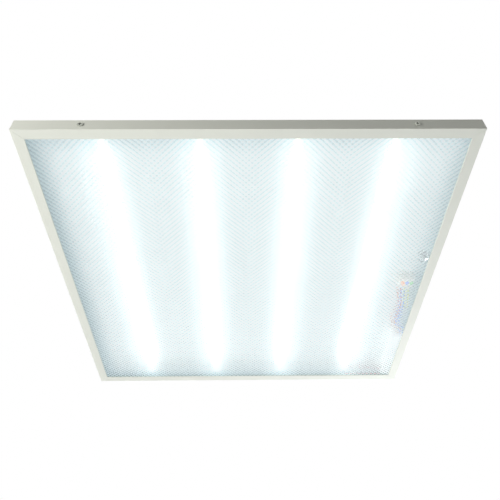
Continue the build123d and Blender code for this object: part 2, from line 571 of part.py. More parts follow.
with BuildPart() as far_connector:
    with BuildSketch(Plane.XY.offset(BOARD_FACE_Z - CONNECTOR_HEIGHT)):
        with Locations((0, CONNECTOR_END_Y - CONNECTOR_LENGTH / 2)):
            Rectangle(CONNECTOR_WIDTH, CONNECTOR_LENGTH)
    extrude(amount=CONNECTOR_HEIGHT)
    lower_face = far_connector.faces().sort_by(Axis.Z)[0]
    chamfer(lower_face.edges().filter_by(Axis.X), CONNECTOR_CHAMFER)
    with BuildSketch(Plane.XZ.offset(-CONNECTOR_END_Y)):
        with Locations(*[(offset, CONNECTOR_ENTRY_Z) for offset in ENTRY_OFFSETS]):
            Rectangle(LED_ENTRY_WIDTH, LED_ENTRY_WIDTH)
    extrude(amount=CONNECTOR_ENTRY_DEPTH, mode=Mode.SUBTRACT)

with BuildPart() as connector_pair:
    add(far_connector.part)
    mirror(far_connector.part, about=Plane.XZ)

for number, board_x in enumerate(BOARD_XS, start=1):
    at_board = Location((board_x, 0, 0))
    finish(led_board.part.moved(at_board), f"led_board_{number}")
    finish(led_row.part.moved(at_board), f"led_chips_{number}")
    finish(connector_pair.part.moved(at_board), f"led_connectors_{number}")

# --- Driver ----------------------------------------------------------------------------------
with BuildPart() as driver_base:
    with BuildSketch(Plane.XY.offset(DRIVER_BASE_Z)):
        with Locations((DRIVER_X, DRIVER_Y)):
            Rectangle(DRIVER_WIDTH, DRIVER_LENGTH)
        with Locations(NEAR_EAR, FAR_EAR):
            Rectangle(DRIVER_EAR_WIDTH, DRIVER_EAR_REACH)
        with Locations(NEAR_EAR, FAR_EAR):
            Circle(CASE_SCREW_SHANK_RADIUS + CASE_HOLE_CLEARANCE, mode=Mode.SUBTRACT)
    extrude(amount=DRIVER_BASE_THICKNESS)
    # bosses that hold the circuit board off the base
    with BuildSketch(Plane.XY.offset(DRIVER_BASE_Z)):
        with Locations((DRIVER_X, DRIVER_Y)):
            standoff_span = CIRCUIT_BOARD_WIDTH * STANDOFF_SPAN_SHARE
            standoff_run = CIRCUIT_BOARD_LENGTH * STANDOFF_RUN_SHARE
            with GridLocations(standoff_span, standoff_run, 2, 2):
                Rectangle(STANDOFF_WIDTH, STANDOFF_WIDTH)
    extrude(amount=-STANDOFF_HEIGHT)
    # snap tongues inside the cover's long walls, each with a bump in a window
    tongue_offset = (COVER_INNER_WIDTH - SNAP_TONGUE_THICKNESS) / 2
    with BuildSketch(Plane.XY.offset(SNAP_WINDOW_Z)):
        with Locations(*[(DRIVER_X + hand * tongue_offset, y) for hand in (-1, 1) for y in SNAP_YS]):
            Rectangle(SNAP_TONGUE_THICKNESS, SNAP_TONGUE_LENGTH)
    extrude(amount=DRIVER_BASE_Z - SNAP_WINDOW_Z)
    bump_offset = (COVER_INNER_WIDTH + SNAP_BUMP_REACH) / 2
    with BuildSketch(Plane.XY.offset(SNAP_WINDOW_Z + SNAP_CLEARANCE)):
        with Locations(*[(DRIVER_X + hand * bump_offset, y) for hand in (-1, 1) for y in SNAP_YS]):
            Rectangle(SNAP_BUMP_REACH, SNAP_BUMP_LENGTH)
    extrude(amount=SNAP_BUMP_HEIGHT)
finish(driver_base.part, "driver_base")

with BuildPart() as driver_cover:
    with BuildSketch(Plane.XY.offset(DRIVER_FACE_Z)):
        with Locations((DRIVER_X, DRIVER_Y)):
            RectangleRounded(DRIVER_WIDTH, DRIVER_LENGTH, DRIVER_CORNER)
    extrude(amount=DRIVER_BASE_Z - DRIVER_FACE_Z)
    chamfer(driver_cover.faces().sort_by(Axis.Z)[0].edges(), DRIVER_CASE_WALL / 2)
    with BuildSketch(Plane.XY.offset(DRIVER_FACE_Z + DRIVER_CASE_WALL)):
        with Locations((DRIVER_X, DRIVER_Y)):
            Rectangle(COVER_INNER_WIDTH, DRIVER_LENGTH - 2 * DRIVER_CASE_WALL)
    extrude(amount=DRIVER_BASE_Z - DRIVER_FACE_Z - DRIVER_CASE_WALL, mode=Mode.SUBTRACT)
    # windows for the snap bumps
    with BuildSketch(Plane.YZ.offset(DRIVER_X)):
        with Locations(*[(y, SNAP_WINDOW_Z + SNAP_WINDOW_HEIGHT / 2) for y in SNAP_YS]):
            Rectangle(SNAP_BUMP_LENGTH + 2 * SNAP_CLEARANCE, SNAP_WINDOW_HEIGHT)
    extrude(amount=DRIVER_WIDTH / 2, both=True, mode=Mode.SUBTRACT)
    # wire notches in both ends, open towards the base
    with BuildSketch(Plane.XZ.offset(-DRIVER_NEAR_Y)):
        with Locations((DRIVER_LIVE_X, DRIVER_BASE_Z), (DRIVER_NEUTRAL_X, DRIVER_BASE_Z)):
            notch_depth = DRIVER_BASE_Z - MAINS_WIRE_Z + MAINS_ENTRY_WIDTH / 2
            Rectangle(MAINS_ENTRY_WIDTH, notch_depth, align=(Align.CENTER, Align.MAX))
    extrude(amount=-DRIVER_CASE_WALL, mode=Mode.SUBTRACT)
    with BuildSketch(Plane.XZ.offset(-DRIVER_FAR_Y)):
        with Locations((DRIVER_NEGATIVE_X, DRIVER_BASE_Z), (DRIVER_POSITIVE_X, DRIVER_BASE_Z)):
            notch_depth = DRIVER_BASE_Z - LED_WIRE_Z + LED_ENTRY_WIDTH / 2
            Rectangle(LED_ENTRY_WIDTH, notch_depth, align=(Align.CENTER, Align.MAX))
    extrude(amount=DRIVER_CASE_WALL, mode=Mode.SUBTRACT)
finish(driver_cover.part, "driver_cover")

with BuildPart() as driver_circuit_board:
    with BuildSketch(Plane.XY.offset(CIRCUIT_BOARD_Z)):
        with Locations((DRIVER_X, DRIVER_Y)):
            Rectangle(CIRCUIT_BOARD_WIDTH, CIRCUIT_BOARD_LENGTH)
        # notches that clear the snap tongues
        notch_offset = CIRCUIT_BOARD_WIDTH / 2
        with Locations(*[(DRIVER_X + hand * notch_offset, y) for hand in (-1, 1) for y in SNAP_YS]):
            Rectangle(
                2 * SNAP_TONGUE_THICKNESS,
                SNAP_TONGUE_LENGTH + 2 * CIRCUIT_BOARD_EDGE_GAP,
                mode=Mode.SUBTRACT,
            )
    extrude(amount=CIRCUIT_BOARD_THICKNESS)
finish(driver_circuit_board.part, "driver_circuit_board")

transformer_place = (DRIVER_X, DRIVER_Y + TRANSFORMER_STATION)
with BuildPart() as driver_transformer:
    with BuildSketch(Plane.XY.offset(CIRCUIT_BOARD_Z)):
        with Locations(transformer_place):
            Rectangle(TRANSFORMER_CORE_WIDTH, TRANSFORMER_CORE_LENGTH)
    extrude(amount=-TRANSFORMER_HEIGHT)
    with BuildSketch(Plane.XY.offset(CIRCUIT_BOARD_Z)):
        with Locations(transformer_place):
            Rectangle(BOBBIN_WIDTH, BOBBIN_LENGTH)
    extrude(amount=-BOBBIN_HEIGHT)
    chamfer(driver_transformer.edges().filter_by(Axis.Z), TRANSFORMER_CHAMFER)
finish(driver_transformer.part, "driver_transformer")


def lying_capacitor(radius, length, centre_y):
    """Can of an electrolytic capacitor that lies under the circuit board along Y."""
    centre_z = CIRCUIT_BOARD_Z - radius - CAN_SEAT_GAP
    with BuildPart() as can:
        with BuildSketch(Plane.XZ.offset(-centre_y - length / 2)):
            with Locations((DRIVER_X, centre_z)):
                Circle(radius)
        extrude(amount=length)
        chamfer(can.faces().sort_by(Axis.Y)[-1].edges(), radius / 10)
    return can.part


input_capacitor = lying_capacitor(
    INPUT_CAPACITOR_RADIUS, INPUT_CAPACITOR_LENGTH, DRIVER_Y + INPUT_CAPACITOR_STATION
)
finish(input_capacitor, "driver_input_capacitor")
output_capacitor = lying_capacitor(
    OUTPUT_CAPACITOR_RADIUS, OUTPUT_CAPACITOR_LENGTH, DRIVER_Y + OUTPUT_CAPACITOR_STATION
)
finish(output_capacitor, "driver_output_capacitor")

choke_place = (DRIVER_X, DRIVER_Y + CHOKE_STATION)
with BuildPart() as driver_filter_choke:
    with BuildSketch(Plane.XY.offset(CIRCUIT_BOARD_Z)):
        with Locations(choke_place):
            Rectangle(CHOKE_WIDTH, CHOKE_WIDTH)
    extrude(amount=-CHOKE_HEIGHT)
    # the winding's waist between the core's two flanges
    with BuildSketch(Plane.XY.offset(CIRCUIT_BOARD_Z - CHOKE_FLANGE)):
        with Locations(choke_place):
            Rectangle(CHOKE_WIDTH, CHOKE_WIDTH)
            waist = CHOKE_WIDTH - 2 * CHOKE_WINDING_STEP
            Rectangle(waist, waist, mode=Mode.SUBTRACT)
    extrude(amount=-(CHOKE_HEIGHT - 2 * CHOKE_FLANGE), mode=Mode.SUBTRACT)
finish(driver_filter_choke.part, "driver_filter_choke")

transistor_y = DRIVER_Y + TRANSISTOR_STATION
transistor_end_x = DRIVER_X - TRANSISTOR_TAB_LENGTH / 2
with BuildPart() as driver_transistor:
    with BuildSketch(Plane.XY.offset(CIRCUIT_BOARD_Z - TRANSISTOR_TAB_THICKNESS)):
        with Locations((DRIVER_X, transistor_y)):
            Rectangle(TRANSISTOR_TAB_LENGTH, TRANSISTOR_WIDTH)
        with Locations((transistor_end_x + TRANSISTOR_HOLE_INSET, transistor_y)):
            Circle(TRANSISTOR_HOLE_RADIUS, mode=Mode.SUBTRACT)
    extrude(amount=TRANSISTOR_TAB_THICKNESS)
    body_x = transistor_end_x + TRANSISTOR_TAB_LENGTH - TRANSISTOR_BODY_LENGTH / 2
    with BuildSketch(Plane.XY.offset(CIRCUIT_BOARD_Z - TRANSISTOR_TAB_THICKNESS)):
        with Locations((body_x, transistor_y)):
            Rectangle(TRANSISTOR_BODY_LENGTH, TRANSISTOR_WIDTH)
    extrude(amount=-TRANSISTOR_BODY_HEIGHT, taper=TRANSISTOR_BODY_TAPER)
finish(driver_transistor.part, "driver_transistor")


def case_screw(seat_z):
    """Small pan-head screw that goes up through the tray's back from a seat at this height."""
    length = TRAY_BACK_Z + CASE_SCREW_TIP_HEIGHT - seat_z
    screw = pan_screw(
        CASE_SCREW_HEAD_RADIUS, CASE_SCREW_HEAD_HEIGHT, CASE_SCREW_SHANK_RADIUS, length
    )
    return screw.moved(Location((0, 0, seat_z)))


driver_screw = case_screw(DRIVER_BASE_Z)
with BuildPart() as driver_screws:
    with Locations(NEAR_EAR, FAR_EAR):
        add(driver_screw)
finish(driver_screws.part, "driver_screws")

# --- Supply terminal -------------------------------------------------------------------------
with BuildPart() as terminal_housing:
    with BuildSketch(Plane.XY.offset(TERMINAL_FACE_Z)):
        with Locations((TERMINAL_X, TERMINAL_Y)):
            Rectangle(TERMINAL_WIDTH, TERMINAL_LENGTH)
    extrude(amount=TERMINAL_HEIGHT)
    housing_rim = terminal_housing.faces().sort_by(Axis.Z)[0].edges().filter_by(Axis.X)
    chamfer(housing_rim, TERMINAL_SHELL)
    with BuildSketch(Plane.XY.offset(TRAY_INNER_Z - TERMINAL_EAR_THICKNESS)):
        with Locations((TERMINAL_EAR_X, TERMINAL_Y)):
            Rectangle(TERMINAL_EAR_LENGTH, TERMINAL_EAR_LENGTH)
            Circle(CASE_SCREW_SHANK_RADIUS + CASE_HOLE_CLEARANCE, mode=Mode.SUBTRACT)
    extrude(amount=TERMINAL_EAR_THICKNESS)
    # one chamber for each pole's bus bar, clamp and wire ends
    with BuildSketch(Plane.XY.offset(CHAMBER_LOW_Z)):
        with Locations(*[(x, CHAMBER_Y) for x in POLE_XS.values()]):
            Rectangle(CHAMBER_WIDTH, CHAMBER_LENGTH)
    extrude(amount=POLE_CHAMBER_HEIGHT, mode=Mode.SUBTRACT)
    # a button slot through the lower wall, and the wider well above it
    with BuildSketch(Plane.XY.offset(TERMINAL_FACE_Z)):
        with Locations(*[(x, BUTTON_Y) for x in POLE_XS.values()]):
            Rectangle(SLOT_WIDTH, SLOT_LENGTH)
    extrude(amount=TERMINAL_SHELL, mode=Mode.SUBTRACT)
    with BuildSketch(Plane.XY.offset(TERMINAL_FACE_Z + TERMINAL_SHELL)):
        with Locations(*[(x, BUTTON_Y) for x in POLE_XS.values()]):
            Rectangle(WELL_WIDTH, WELL_LENGTH)
    extrude(amount=CHAMBER_LOW_Z - TERMINAL_FACE_Z - TERMINAL_SHELL, mode=Mode.SUBTRACT)
    # wire entries: square funnels on the supply side, square holes on the inner side
    entry_places = [(x, MAINS_WIRE_Z) for x in POLE_XS.values()]
    funnel_mouth = SUPPLY_ENTRY_WIDTH + 2 * SUPPLY_FUNNEL
    with BuildSketch(Plane.XZ.offset(-TERMINAL_SUPPLY_Y)):
        with Locations(*entry_places):
            Rectangle(funnel_mouth, funnel_mouth)
    extrude(amount=-SUPPLY_FUNNEL, taper=SUPPLY_FUNNEL_TAPER, mode=Mode.SUBTRACT)
    with BuildSketch(Plane.XZ.offset(-TERMINAL_SUPPLY_Y)):
        with Locations(*entry_places):
            Rectangle(SUPPLY_ENTRY_WIDTH, SUPPLY_ENTRY_WIDTH)
    extrude(amount=-SUPPLY_WALL, mode=Mode.SUBTRACT)
    with BuildSketch(Plane.XZ.offset(-TERMINAL_INNER_Y)):
        with Locations(*entry_places):
            Rectangle(MAINS_ENTRY_WIDTH, MAINS_ENTRY_WIDTH)
    extrude(amount=INNER_WALL, mode=Mode.SUBTRACT)
finish(terminal_housing.part, "terminal_housing")


def terminal_busbar(pole_x):
    """Copper strip along the top of a pole's chamber, with a lug turned down at its middle."""
    with BuildPart() as bar:
        with BuildSketch(Plane.XY.offset(BUSBAR_Z)):
            with Locations((pole_x, CHAMBER_Y)):
                Rectangle(BUSBAR_WIDTH, CHAMBER_LENGTH - 2 * BUSBAR_END_GAP)
        extrude(amount=BUSBAR_THICKNESS)
        with BuildSketch(Plane.XY.offset(BUSBAR_Z)):
            with Locations((pole_x, CHAMBER_Y + BUSBAR_LUG_OFFSET)):
                Rectangle(BUSBAR_WIDTH * BUSBAR_LUG_SHARE, BUSBAR_THICKNESS)
        extrude(amount=-BUSBAR_LUG_HEIGHT)
    return bar.part


def terminal_clamp(pole_x):
    """Folded leaf spring under the bus bar: a flat leg, a fold and a slanting leg."""
    tip_y = CHAMBER_NEAR_Y + CLAMP_INSET
    fold_y = tip_y + CLAMP_LENGTH
    with BuildPart() as clamp:
        with BuildSketch(Plane.YZ.offset(pole_x - CLAMP_WIDTH / 2)):
            with BuildLine():
                FilletPolyline(
                    (tip_y + CLAMP_THICKNESS, CLAMP_LEAF_Z),
                    (fold_y, CLAMP_LEAF_Z),
                    (fold_y, CLAMP_LEAF_Z - CLAMP_FOLD_DROP),
                    (tip_y, CLAMP_LEAF_Z - CLAMP_TIP_DROP),
                    radius=CLAMP_FOLD_RADIUS,
                )
            trace(line_width=CLAMP_THICKNESS)
        extrude(amount=CLAMP_WIDTH)
    return clamp.part


def release_button(pole_x):
    """Push button that opens a pole's clamp: stem, retaining shoulder and tip, with a tool slot."""
    ledge = 2 * (BUTTON_SHOULDER - BUTTON_CLEARANCE)
    with BuildPart() as button:
        with BuildSketch(Plane.XY.offset(BUTTON_LOW_Z)):
            with Locations((pole_x, BUTTON_Y)):
                Rectangle(BUTTON_WIDTH, BUTTON_LENGTH)
        extrude(amount=BUTTON_SHOULDER_Z - BUTTON_LOW_Z)
        chamfer(button.faces().sort_by(Axis.Z)[0].edges(), BUTTON_EDGE_CHAMFER)
        with BuildSketch(Plane.XY.offset(BUTTON_LOW_Z)):
            with Locations((pole_x, BUTTON_Y)):
                Rectangle(BUTTON_SLOT_LENGTH, BUTTON_SLOT_WIDTH)
        extrude(amount=BUTTON_SLOT_DEPTH, mode=Mode.SUBTRACT)
        with BuildSketch(Plane.XY.offset(BUTTON_SHOULDER_Z)):
            with Locations((pole_x, BUTTON_Y)):
                Rectangle(BUTTON_WIDTH + ledge, BUTTON_LENGTH + ledge)
        extrude(amount=BUTTON_SHOULDER_HEIGHT)
        with BuildSketch(Plane.XY.offset(BUTTON_TIP_Z)):
            with Locations((pole_x, BUTTON_Y)):
                Rectangle(BUTTON_WIDTH * BUTTON_TIP_SHARE, BUTTON_LENGTH * BUTTON_TIP_SHARE)
        extrude(amount=BUTTON_TOP_Z - BUTTON_TIP_Z, taper=BUTTON_TIP_TAPER)
    return button.part


for pole, pole_x in POLE_XS.items():
    finish(terminal_busbar(pole_x), f"terminal_busbar_{pole}")
    finish(terminal_clamp(pole_x), f"terminal_clamp_{pole}")
    finish(release_button(pole_x), f"release_button_{pole}")

terminal_fixing = case_screw(TRAY_INNER_Z - TERMINAL_EAR_THICKNESS)
finish(terminal_fixing.moved(Location((TERMINAL_EAR_X, TERMINAL_Y, 0))), "terminal_screw")

# --- Earth point and cable entry -------------------------------------------------------------
with BuildPart() as earth_stud:
    with BuildSketch(Plane.XY.offset(TRAY_INNER_Z - STUD_LENGTH)):
        with Locations((EARTH_X, EARTH_Y)):
            Circle(STUD_RADIUS)
    extrude(amount=STUD_LENGTH + TRAY_SHEET)
    chamfer(earth_stud.faces().sort_by(Axis.Z)[0].edges(), STUD_CHAMFER)
    with BuildSketch(Plane.XY.offset(TRAY_BACK_Z)):
        with Locations((EARTH_X, EARTH_Y)):
            Circle(STUD_HEAD_RADIUS)
    extrude(amount=STUD_HEAD_HEIGHT)
finish(earth_stud.part, "earth_stud")

with BuildPart() as earth_lock_washer:
    with BuildSketch(Plane.XY.offset(WASHER_Z)):
        with Locations((EARTH_X, EARTH_Y)):
            Circle(WASHER_RADIUS)
            with PolarLocations(WASHER_RADIUS, WASHER_TEETH):
                Rectangle(2 * WASHER_TOOTH_REACH, WASHER_TOOTH_WIDTH)
            Circle(STUD_RADIUS + CASE_HOLE_CLEARANCE, mode=Mode.SUBTRACT)
    extrude(amount=WASHER_THICKNESS)
finish(earth_lock_washer.part, "earth_lock_washer")

with BuildPart() as earth_ring_terminal:
    with BuildSketch(Plane.XY.offset(RING_Z)):
        with Locations((EARTH_X, EARTH_Y)):
            Circle(RING_RADIUS)
            Circle(STUD_RADIUS + CASE_HOLE_CLEARANCE, mode=Mode.SUBTRACT)
            # the neck, which runs from inside the ring to the barrel
            with Locations((0, -RING_RADIUS - RING_NECK_LENGTH / 2)):
                Rectangle(2 * BARREL_RADIUS * RING_NECK_SHARE, RING_NECK_LENGTH + RING_RADIUS / 2)
    extrude(amount=RING_THICKNESS)
    with BuildSketch(Plane.XZ.offset(-BARREL_NEAR_Y)):
        with Locations((EARTH_X, BARREL_Z)):
            Circle(BARREL_RADIUS)
            Circle(BARREL_BORE_RADIUS, mode=Mode.SUBTRACT)
    extrude(amount=-RING_BARREL_LENGTH)
finish(earth_ring_terminal.part, "earth_ring_terminal")

with BuildPart() as earth_nut:
    with BuildSketch(Plane.XY.offset(NUT_Z)):
        with Locations((EARTH_X, EARTH_Y)):
            RegularPolygon(NUT_ACROSS_FLATS / 2, 6, major_radius=False)
            Circle(STUD_RADIUS + THREAD_CLEARANCE, mode=Mode.SUBTRACT)
    extrude(amount=NUT_HEIGHT)
finish(earth_nut.part, "earth_nut")

bevel_radius = GROMMET_FLANGE_RADIUS - GROMMET_BEVEL
neck_radius = GROMMET_NECK_RADIUS - GROMMET_FIT
with BuildPart() as cable_grommet:
    with BuildSketch(Plane.XZ.offset(-GROMMET_Y)):
        with BuildLine():
            Polyline(
                (GROMMET_X + GROMMET_BORE_RADIUS, TRAY_INNER_Z - GROMMET_LOWER_FLANGE),
                (GROMMET_X + bevel_radius, TRAY_INNER_Z - GROMMET_LOWER_FLANGE),
                (GROMMET_X + GROMMET_FLANGE_RADIUS, TRAY_INNER_Z - GROMMET_LOWER_FLANGE / 2),
                (GROMMET_X + GROMMET_FLANGE_RADIUS, TRAY_INNER_Z),
                (GROMMET_X + neck_radius, TRAY_INNER_Z),
                (GROMMET_X + neck_radius, TRAY_BACK_Z),
                (GROMMET_X + GROMMET_FLANGE_RADIUS, TRAY_BACK_Z),
                (GROMMET_X + GROMMET_FLANGE_RADIUS, TRAY_BACK_Z + GROMMET_UPPER_FLANGE),
                (GROMMET_X + GROMMET_BORE_RADIUS, TRAY_BACK_Z + GROMMET_UPPER_FLANGE),
                close=True,
            )
        make_face()
    revolve(axis=Axis((GROMMET_X, GROMMET_Y, 0), (0, 0, 1)))
finish(cable_grommet.part, "cable_grommet")


# --- Wires -----------------------------------------------------------------------------------
def corner_radii(points):
    """Radius of each corner of a route: as large as its two runs allow."""
    route = [Vector(*point) for point in points]
    radii = []
    for before, corner, after in zip(route, route[1:], route[2:]):
        turn = (corner - before).get_angle(after - corner)
        shorter_run = min((corner - before).length, (after - corner).length)
        radii.append(WIRE_BEND_SHARE * shorter_run / math.tan(math.radians(turn / 2)))
    return radii


def wire(name, points, radius):
    """Wire of a faceted round section along straight runs joined by tangent arcs."""
    radii = corner_radii(points)
    with BuildPart() as insulated_wire:
        with BuildLine() as path:
            FilletPolyline(*points, radius=radii)
        with BuildSketch(Plane(path.line @ 0, z_dir=path.line % 0)) as section:
            RegularPolygon(radius, WIRE_FACETS)
        sweep()
    length = path.wire().length
    expected = section.sketch.area * length
    print(
        f"{name}: length {length:.0f}, least radius {min(radii):.1f}, "
        f"volume {insulated_wire.part.volume / expected:.4f} of section times length"
    )
    return insulated_wire.part


def at_level(z, *points):
    """Points of a level route, at one height."""
    return [(x, y, z) for x, y in points]


def beside_wall(inset, driver_distance):
    """A place in the strip along the right wall: inwards from it, and nearer than the driver."""
    return (HALF_SIDE - inset, DRIVER_NEAR_Y - driver_distance)


live_route = at_level(
    MAINS_WIRE_Z,
    (DRIVER_LIVE_X, DRIVER_NEAR_Y + WIRE_END_IN_CASE),
    (DRIVER_LIVE_X, DRIVER_NEAR_Y - 4.0),
    beside_wall(36.0, 28.0),
    beside_wall(31.0, 52.0),
    beside_wall(33.0, 93.0),
    (POLE_XS["live"], TERMINAL_INNER_Y + 15.0),
    (POLE_XS["live"], WIRE_END_Y),
)
finish(wire("wire_live", live_route, MAINS_WIRE_RADIUS), "wire_live")

neutral_route = at_level(
    MAINS_WIRE_Z,
    (DRIVER_NEUTRAL_X, DRIVER_NEAR_Y + WIRE_END_IN_CASE),
    (DRIVER_NEUTRAL_X, DRIVER_NEAR_Y - 6.0),
    beside_wall(28.0, 31.0),
    beside_wall(26.3, 52.0),
    beside_wall(27.5, 77.0),
    beside_wall(31.0, 103.0),
    (POLE_XS["neutral"], TERMINAL_INNER_Y + 13.0),
    (POLE_XS["neutral"], WIRE_END_Y),
)
finish(wire("wire_neutral", neutral_route, MAINS_WIRE_RADIUS), "wire_neutral")

earth_bend_x, earth_bend_y = beside_wall(24.0, 103.0)
earth_route = [
    (EARTH_X, BARREL_FAR_Y - 1.0, BARREL_Z),
    (EARTH_X, BARREL_NEAR_Y - 6.0, BARREL_Z),
    (earth_bend_x, earth_bend_y, (BARREL_Z + MAINS_WIRE_Z) / 2),
    (POLE_XS["earth"], TERMINAL_INNER_Y + 13.0, MAINS_WIRE_Z),
    (POLE_XS["earth"], WIRE_END_Y, MAINS_WIRE_Z),
]
finish(wire("wire_earth", earth_route, MAINS_WIRE_RADIUS), "wire_earth")


def feed_route(driver_x, run_y, entry_offset):
    """From the driver's far end along the tray's far wall to the last board's connector."""
    board_x = BOARD_XS[-1] + entry_offset
    return [
        (driver_x, DRIVER_FAR_Y - WIRE_END_IN_CASE, LED_WIRE_Z),
        (driver_x, run_y, LED_WIRE_Z),
        (driver_x - FEED_TURN_LENGTH, run_y, CONNECTOR_ENTRY_Z),
        (board_x, run_y, CONNECTOR_ENTRY_Z),
        (board_x, WIRE_IN_CONNECTOR_Y, CONNECTOR_ENTRY_Z),
    ]


positive_run_y = CONNECTOR_END_Y + FEED_OUTER_RUN
negative_run_y = CONNECTOR_END_Y + FEED_INNER_RUN
positive_route = feed_route(DRIVER_POSITIVE_X, positive_run_y, ENTRY_OFFSETS[2])
negative_route = feed_route(DRIVER_NEGATIVE_X, negative_run_y, ENTRY_OFFSETS[3])
finish(wire("wire_led_positive", positive_route, LED_WIRE_RADIUS), "wire_led_positive")
finish(wire("wire_led_negative", negative_route, LED_WIRE_RADIUS), "wire_led_negative")


def jumper_route(right_x, left_x, run):
    """U from one board's near connector to the next one's, past the boards' ends."""
    return at_level(
        CONNECTOR_ENTRY_Z,
        (right_x, -WIRE_IN_CONNECTOR_Y),
        (right_x, -CONNECTOR_END_Y - run),
        (left_x, -CONNECTOR_END_Y - run),
        (left_x, -WIRE_IN_CONNECTOR_Y),
    )


for number in range(BOARD_COUNT, 1, -1):
    right_x = BOARD_XS[number - 1]
    left_x = BOARD_XS[number - 2]
    name = f"jumper_wires_{number}_{number - 1}"
    inner = jumper_route(right_x + ENTRY_OFFSETS[0], left_x + ENTRY_OFFSETS[3], JUMPER_INNER_RUN)
    outer = jumper_route(right_x + ENTRY_OFFSETS[1], left_x + ENTRY_OFFSETS[2], JUMPER_OUTER_RUN)
    with BuildPart() as jumper_pair:
        add(wire(f"{name} inner", inner, LED_WIRE_RADIUS))
        add(wire(f"{name} outer", outer, LED_WIRE_RADIUS))
    finish(jumper_pair.part, name)


def wire_clip(x, lower_run_y, upper_run_y, wire_z):
    """Saddle on the tray that holds two parallel runs, with a slit to press them in."""
    middle_y = (lower_run_y + upper_run_y) / 2
    slot_width = abs(upper_run_y - lower_run_y) + 2 * (LED_WIRE_RADIUS + WIRE_HOLE_CLEARANCE)
    slot_height = 2 * (LED_WIRE_RADIUS + WIRE_HOLE_CLEARANCE)
    low_z = wire_z - slot_height / 2 - CLIP_WALL
    with BuildPart() as clip:
        with BuildSketch(Plane.YZ.offset(x - CLIP_LENGTH / 2)):
            with Locations((middle_y, (low_z + TRAY_INNER_Z) / 2)):
                Rectangle(slot_width + 2 * CLIP_WALL, TRAY_INNER_Z - low_z)
            with Locations((middle_y, wire_z)):
                Rectangle(slot_width, slot_height, mode=Mode.SUBTRACT)
            with Locations((middle_y, low_z + CLIP_WALL / 2)):
                Rectangle(CLIP_SLIT, CLIP_WALL * 2, mode=Mode.SUBTRACT)
        extrude(amount=CLIP_LENGTH)
    return clip.part


with BuildPart() as wire_clips:
    for left_x, right_x in zip(BOARD_XS, BOARD_XS[1:]):
        add(
            wire_clip(
                (left_x + right_x) / 2,
                -CONNECTOR_END_Y - JUMPER_OUTER_RUN,
                -CONNECTOR_END_Y - JUMPER_INNER_RUN,
                CONNECTOR_ENTRY_Z,
            )
        )
    add(wire_clip(HALF_SIDE - FEED_CLIP_INSET, negative_run_y, positive_run_y, CONNECTOR_ENTRY_Z))
finish(wire_clips.part, "wire_clips")
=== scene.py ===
"""Looks of a recessed troffer light: a pale painted frame round a lit prismatic diffuser.

Metres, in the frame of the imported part: the origin is the middle of the frame's lower face, +Z
points up into the ceiling void, +Y to the far side and +X to the right. The camera looks up from
the near side.
"""

import json
import logging
import math
from collections.abc import Iterable
from dataclasses import dataclass
from enum import Enum
from functools import cache
from typing import Any

import bmesh
import bpy
from mathutils import Matrix, Vector

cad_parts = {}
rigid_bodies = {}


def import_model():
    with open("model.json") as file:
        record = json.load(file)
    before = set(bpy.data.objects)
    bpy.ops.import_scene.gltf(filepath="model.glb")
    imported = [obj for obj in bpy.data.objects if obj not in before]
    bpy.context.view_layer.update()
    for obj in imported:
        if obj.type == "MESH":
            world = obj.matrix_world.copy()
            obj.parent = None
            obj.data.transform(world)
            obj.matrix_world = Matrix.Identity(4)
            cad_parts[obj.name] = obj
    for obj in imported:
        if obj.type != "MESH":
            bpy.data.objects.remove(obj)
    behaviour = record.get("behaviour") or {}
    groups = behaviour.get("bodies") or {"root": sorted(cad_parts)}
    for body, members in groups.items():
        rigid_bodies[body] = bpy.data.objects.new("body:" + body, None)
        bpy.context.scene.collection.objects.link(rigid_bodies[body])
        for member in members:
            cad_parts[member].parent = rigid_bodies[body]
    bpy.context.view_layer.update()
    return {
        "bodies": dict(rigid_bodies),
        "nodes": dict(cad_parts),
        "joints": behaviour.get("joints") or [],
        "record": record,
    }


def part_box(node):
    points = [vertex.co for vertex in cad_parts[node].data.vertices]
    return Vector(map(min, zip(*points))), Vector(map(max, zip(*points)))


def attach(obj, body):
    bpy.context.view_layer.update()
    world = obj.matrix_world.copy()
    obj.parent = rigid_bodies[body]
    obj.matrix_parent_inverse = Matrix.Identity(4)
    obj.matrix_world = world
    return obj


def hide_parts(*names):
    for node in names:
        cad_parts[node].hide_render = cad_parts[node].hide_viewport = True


MM = 0.001
LUMINAIRE = "luminaire"
BOARDS = range(1, 5)  # the LED boards' numbers
log = logging.getLogger("troffer")

Triple = tuple[float, float, float]
Colour = Triple


def with_alpha(colour: Colour) -> tuple[float, float, float, float]:
    """Return the colour as the four numbers that a colour socket takes."""
    return (*colour, 1.0)


# --- Shading tools ---


